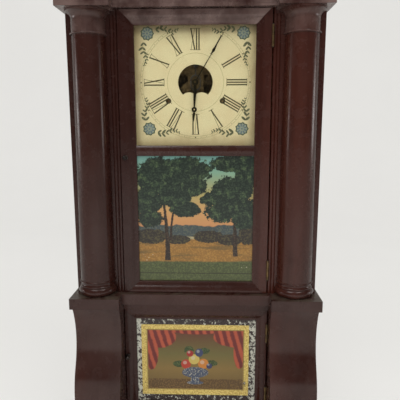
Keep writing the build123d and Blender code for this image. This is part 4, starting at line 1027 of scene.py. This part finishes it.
def drawRosette(u, v, rim, petals, shades, look):
    radius, lobes = look["radius"], look["lobes"]
    rim.disc((u, v), radius, look["steps"], lobes, look["scallop"])
    petals.disc((u, v), radius - look["rimWidth"], look["steps"], lobes, look["scallop"])
    for petal in range(lobes):
        angle = 2 * pi * (petal + 0.5) / lobes
        place = (u + look["petalAt"] * cos(angle), v + look["petalAt"] * sin(angle))
        shades.disc(place, look["petalLength"], look["petalSteps"], squash=look["petalSquash"], turn=angle)
    rim.disc((u, v), **look["boss"])
    shades.disc((u, v), look["eye"], look["petalSteps"])


def drawSpray(u, v, side, bend, leaves, dice, look):  # runs along side, and sways towards bend
    last = None
    largest, smaller = look["leafSizes"]
    for leaf in range(look["leaves"]):
        distance = look["radius"] + look["leafStart"]
        distance += leaf * look["leafStep"] * (1 - look["leafCrowding"] * leaf)
        sway = look["sway"] * sin(leaf * look["swayTurn"]) + look["swayStart"] - leaf * look["swayDrop"]
        place = (u + side[0] * distance + bend[0] * sway, v + side[1] * distance + bend[1] * sway)
        if last:
            leaves.stroke(last, place, look["stem"])
        last = place
        for hand in (-1, 1):
            spread = dice.uniform(-look["leanSpread"], look["leanSpread"])
            lean = atan2(side[1], side[0]) + hand * (look["lean"] + spread)
            size = look["leafLength"] * (largest - smaller * leaf) * dice.uniform(*look["leafSpread"])
            reach = size * look["leafReach"]
            tip = (place[0] + reach * cos(lean), place[1] + reach * sin(lean))
            leaves.disc(tip, size, look["leafSteps"], squash=look["leafSquash"], turn=lean)


def drawCorners(look=corners):
    lifts = look["lifts"]
    rim = Ink("rosetteRims", paint["rim"], lifts["rim"])
    petals = Ink("rosettePetals", paint["petal"], lifts["petals"])
    shades = Ink("rosetteShades", paint["petalShade"], lifts["shades"])
    leaves = Ink("leafSprays", paint["leaf"], lifts["leaves"])
    dice = random.Random(look["seed"])
    for u, v in look["places"]:
        drawRosette(u, v, rim, petals, shades, look)
        across, up = (1 if u > 0 else -1), (1 if v > 0 else -1)
        drawSpray(u, v, (-across, 0), (0, up), leaves, dice, look)
        drawSpray(u, v, (0, -up), (across, 0), leaves, dice, look)
    for ink in (rim, petals, shades, leaves):
        ink.lay()


drawNumerals()
drawRings()
drawCorners()
print("dial painted")


# Camera at the photograph's place, in metres and radians, with lens and sensor in millimetres
view = {
    "place": (0.03338, -0.80408, 0.59686),
    "yaw": -0.0316,
    "pitch": 0.1643,
    "roll": -0.0016,
    "lens": 39.35,
    "sensor": 36,
    "nearest": 0.01,
}


def setCamera(look):
    yaw, pitch, roll = look["yaw"], look["pitch"], look["roll"]
    ahead = Vector((sin(yaw) * cos(pitch), cos(yaw) * cos(pitch), -sin(pitch)))
    right = Vector((cos(yaw), -sin(yaw), 0))
    up = right.cross(ahead)
    tilted = right * cos(roll) + up * sin(roll)
    raised = up * cos(roll) - right * sin(roll)
    camera = bpy.data.objects.new("camera", bpy.data.cameras.new("camera"))
    camera.data.lens = look["lens"]
    camera.data.sensor_width = look["sensor"]
    camera.data.clip_start = look["nearest"]
    turn = Matrix((tilted, raised, -ahead)).transposed()
    camera.matrix_world = Matrix.Translation(look["place"]) @ turn.to_4x4()
    bpy.context.scene.collection.objects.link(camera)
    bpy.context.scene.camera = camera


# Plain light from three soft lamps, all aimed at one point. Metres and watts.
lampAim = (0, 0, 0.5)
lamps = {
    "ceilingLeft": {
        "at": (-0.7, -1.3, 2.3),
        "size": (1.0, 0.5),
        "power": 10,
        "colour": (1, 0.99, 0.97),
        "mirrored": True,
    },
    "ceilingRight": {
        "at": (0.9, -1.1, 2.3),
        "size": (0.9, 0.5),
        "power": 8,
        "colour": (1, 0.98, 0.95),
        "mirrored": True,
    },
    "roomFront": {
        "at": (0.2, -2.4, 0.9),
        "size": (2.4, 1.6),
        "power": 16,
        "colour": (1, 0.98, 0.96),
        "mirrored": False,
    },
}


def addLamps(group):
    for name, look in group.items():
        data = bpy.data.lights.new(name, "AREA")
        data.shape = "RECTANGLE"
        data.size, data.size_y = look["size"]
        data.energy = look["power"]
        data.color = look["colour"]
        lamp = bpy.data.objects.new(name, data)
        lamp.location = look["at"]
        lamp.visible_glossy = look["mirrored"]
        aim = Vector(lampAim) - lamp.location
        lamp.rotation_euler = aim.to_track_quat("-Z", "Y").to_euler()
        bpy.context.scene.collection.objects.link(lamp)


# The room as the polish mirrors it: dim in front, bright far to the sides, a little from above
room = {
    "seen": tint(238, 238, 235),
    "light": (1, 0.985, 0.97, 1),
    "strength": 0.62,
    "front": 0.06,
    "side": 6.0,
    "sideBand": (0.98, 0.999),
    "aboveBand": (0.7, 0.95),
    "aboveShare": 0.1,
}


def setRoom(look):
    world = bpy.data.worlds.new("room")
    bpy.context.scene.world = world
    shade = Shade("room", world)
    overhead = shade.z.above(*look["aboveBand"]) * look["aboveShare"]
    bright = shade.x.size().above(*look["sideBand"]).most(overhead)
    mirrored = look["front"] + bright * (look["side"] - look["front"])
    light = shade.node("ShaderNodeBackground", {}, {0: look["light"], 1: look["strength"]})
    gloss = shade.node("ShaderNodeBackground", {}, {0: look["light"], 1: mirrored})
    seen = shade.node("ShaderNodeBackground", {}, {0: look["seen"], 1: 1.0})
    glossy = shade.node("ShaderNodeLightPath", out="Is Glossy Ray")
    diffuse = shade.node("ShaderNodeMixShader", {}, {0: glossy, 1: light, 2: gloss})
    camera = shade.node("ShaderNodeLightPath", out="Is Camera Ray")
    through = camera.most(shade.node("ShaderNodeLightPath", out="Is Transmission Ray"))
    shade.close({0: through, 1: diffuse, 2: seen}, "ShaderNodeMixShader")


# Floor and wall in one sheet, bent where they meet. Metres.
backdrop = {
    "pale": tint(238, 238, 235),
    "shade": tint(234, 234, 231),
    "patches": (2, 2),
    "patchBand": (0.3, 0.7),
    "seen": tint(244, 243, 240),
    "seenShare": 0.6,
    "half": 16.0,
    "near": -7.0,
    "wall": 3.4,
    "top": 5.0,
    "curve": 1.6,
    "bends": 16,
}


def addStage(look):
    shade = Shade("paleWall")
    patches = shade.noise(*look["patches"]).above(*look["patchBand"])
    colour = shade.mix(patches, look["pale"], look["shade"])
    matt = shade.node("ShaderNodeBsdfDiffuse", {}, {"Color": colour})
    pale = shade.node("ShaderNodeEmission", {}, {"Color": look["seen"], "Strength": 1.0})
    seen = shade.node("ShaderNodeLightPath", out="Is Camera Ray")
    seen = (seen + shade.node("ShaderNodeLightPath", out="Is Transmission Ray")).least(1)
    plain = shade.close({0: seen * look["seenShare"], 1: matt, 2: pale}, "ShaderNodeMixShader")
    wall, curve, bends = look["wall"], look["curve"], look["bends"]
    profile = [(look["near"], 0.0)]
    for step in range(bends + 1):
        angle = step * pi / 2 / bends
        profile.append((wall - curve + curve * sin(angle), curve - curve * cos(angle)))
    profile.append((wall, look["top"]))
    verts = [(x, y, z) for x in (-look["half"], look["half"]) for y, z in profile]
    count = len(profile)
    faces = [(i, i + 1, count + i + 1, count + i) for i in range(count - 1)]
    mesh = bpy.data.meshes.new("stage")
    mesh.from_pydata(verts, [], faces)
    mesh.polygons.foreach_set("use_smooth", [True] * len(faces))
    stage = bpy.data.objects.new("stage", mesh)
    stage.data.materials.append(plain)
    bpy.context.scene.collection.objects.link(stage)


setCamera(view)
addLamps(lamps)
setRoom(room)
addStage(backdrop)
bpy.context.scene.view_settings.view_transform = "Standard"
print("camera, lamps and stage set")
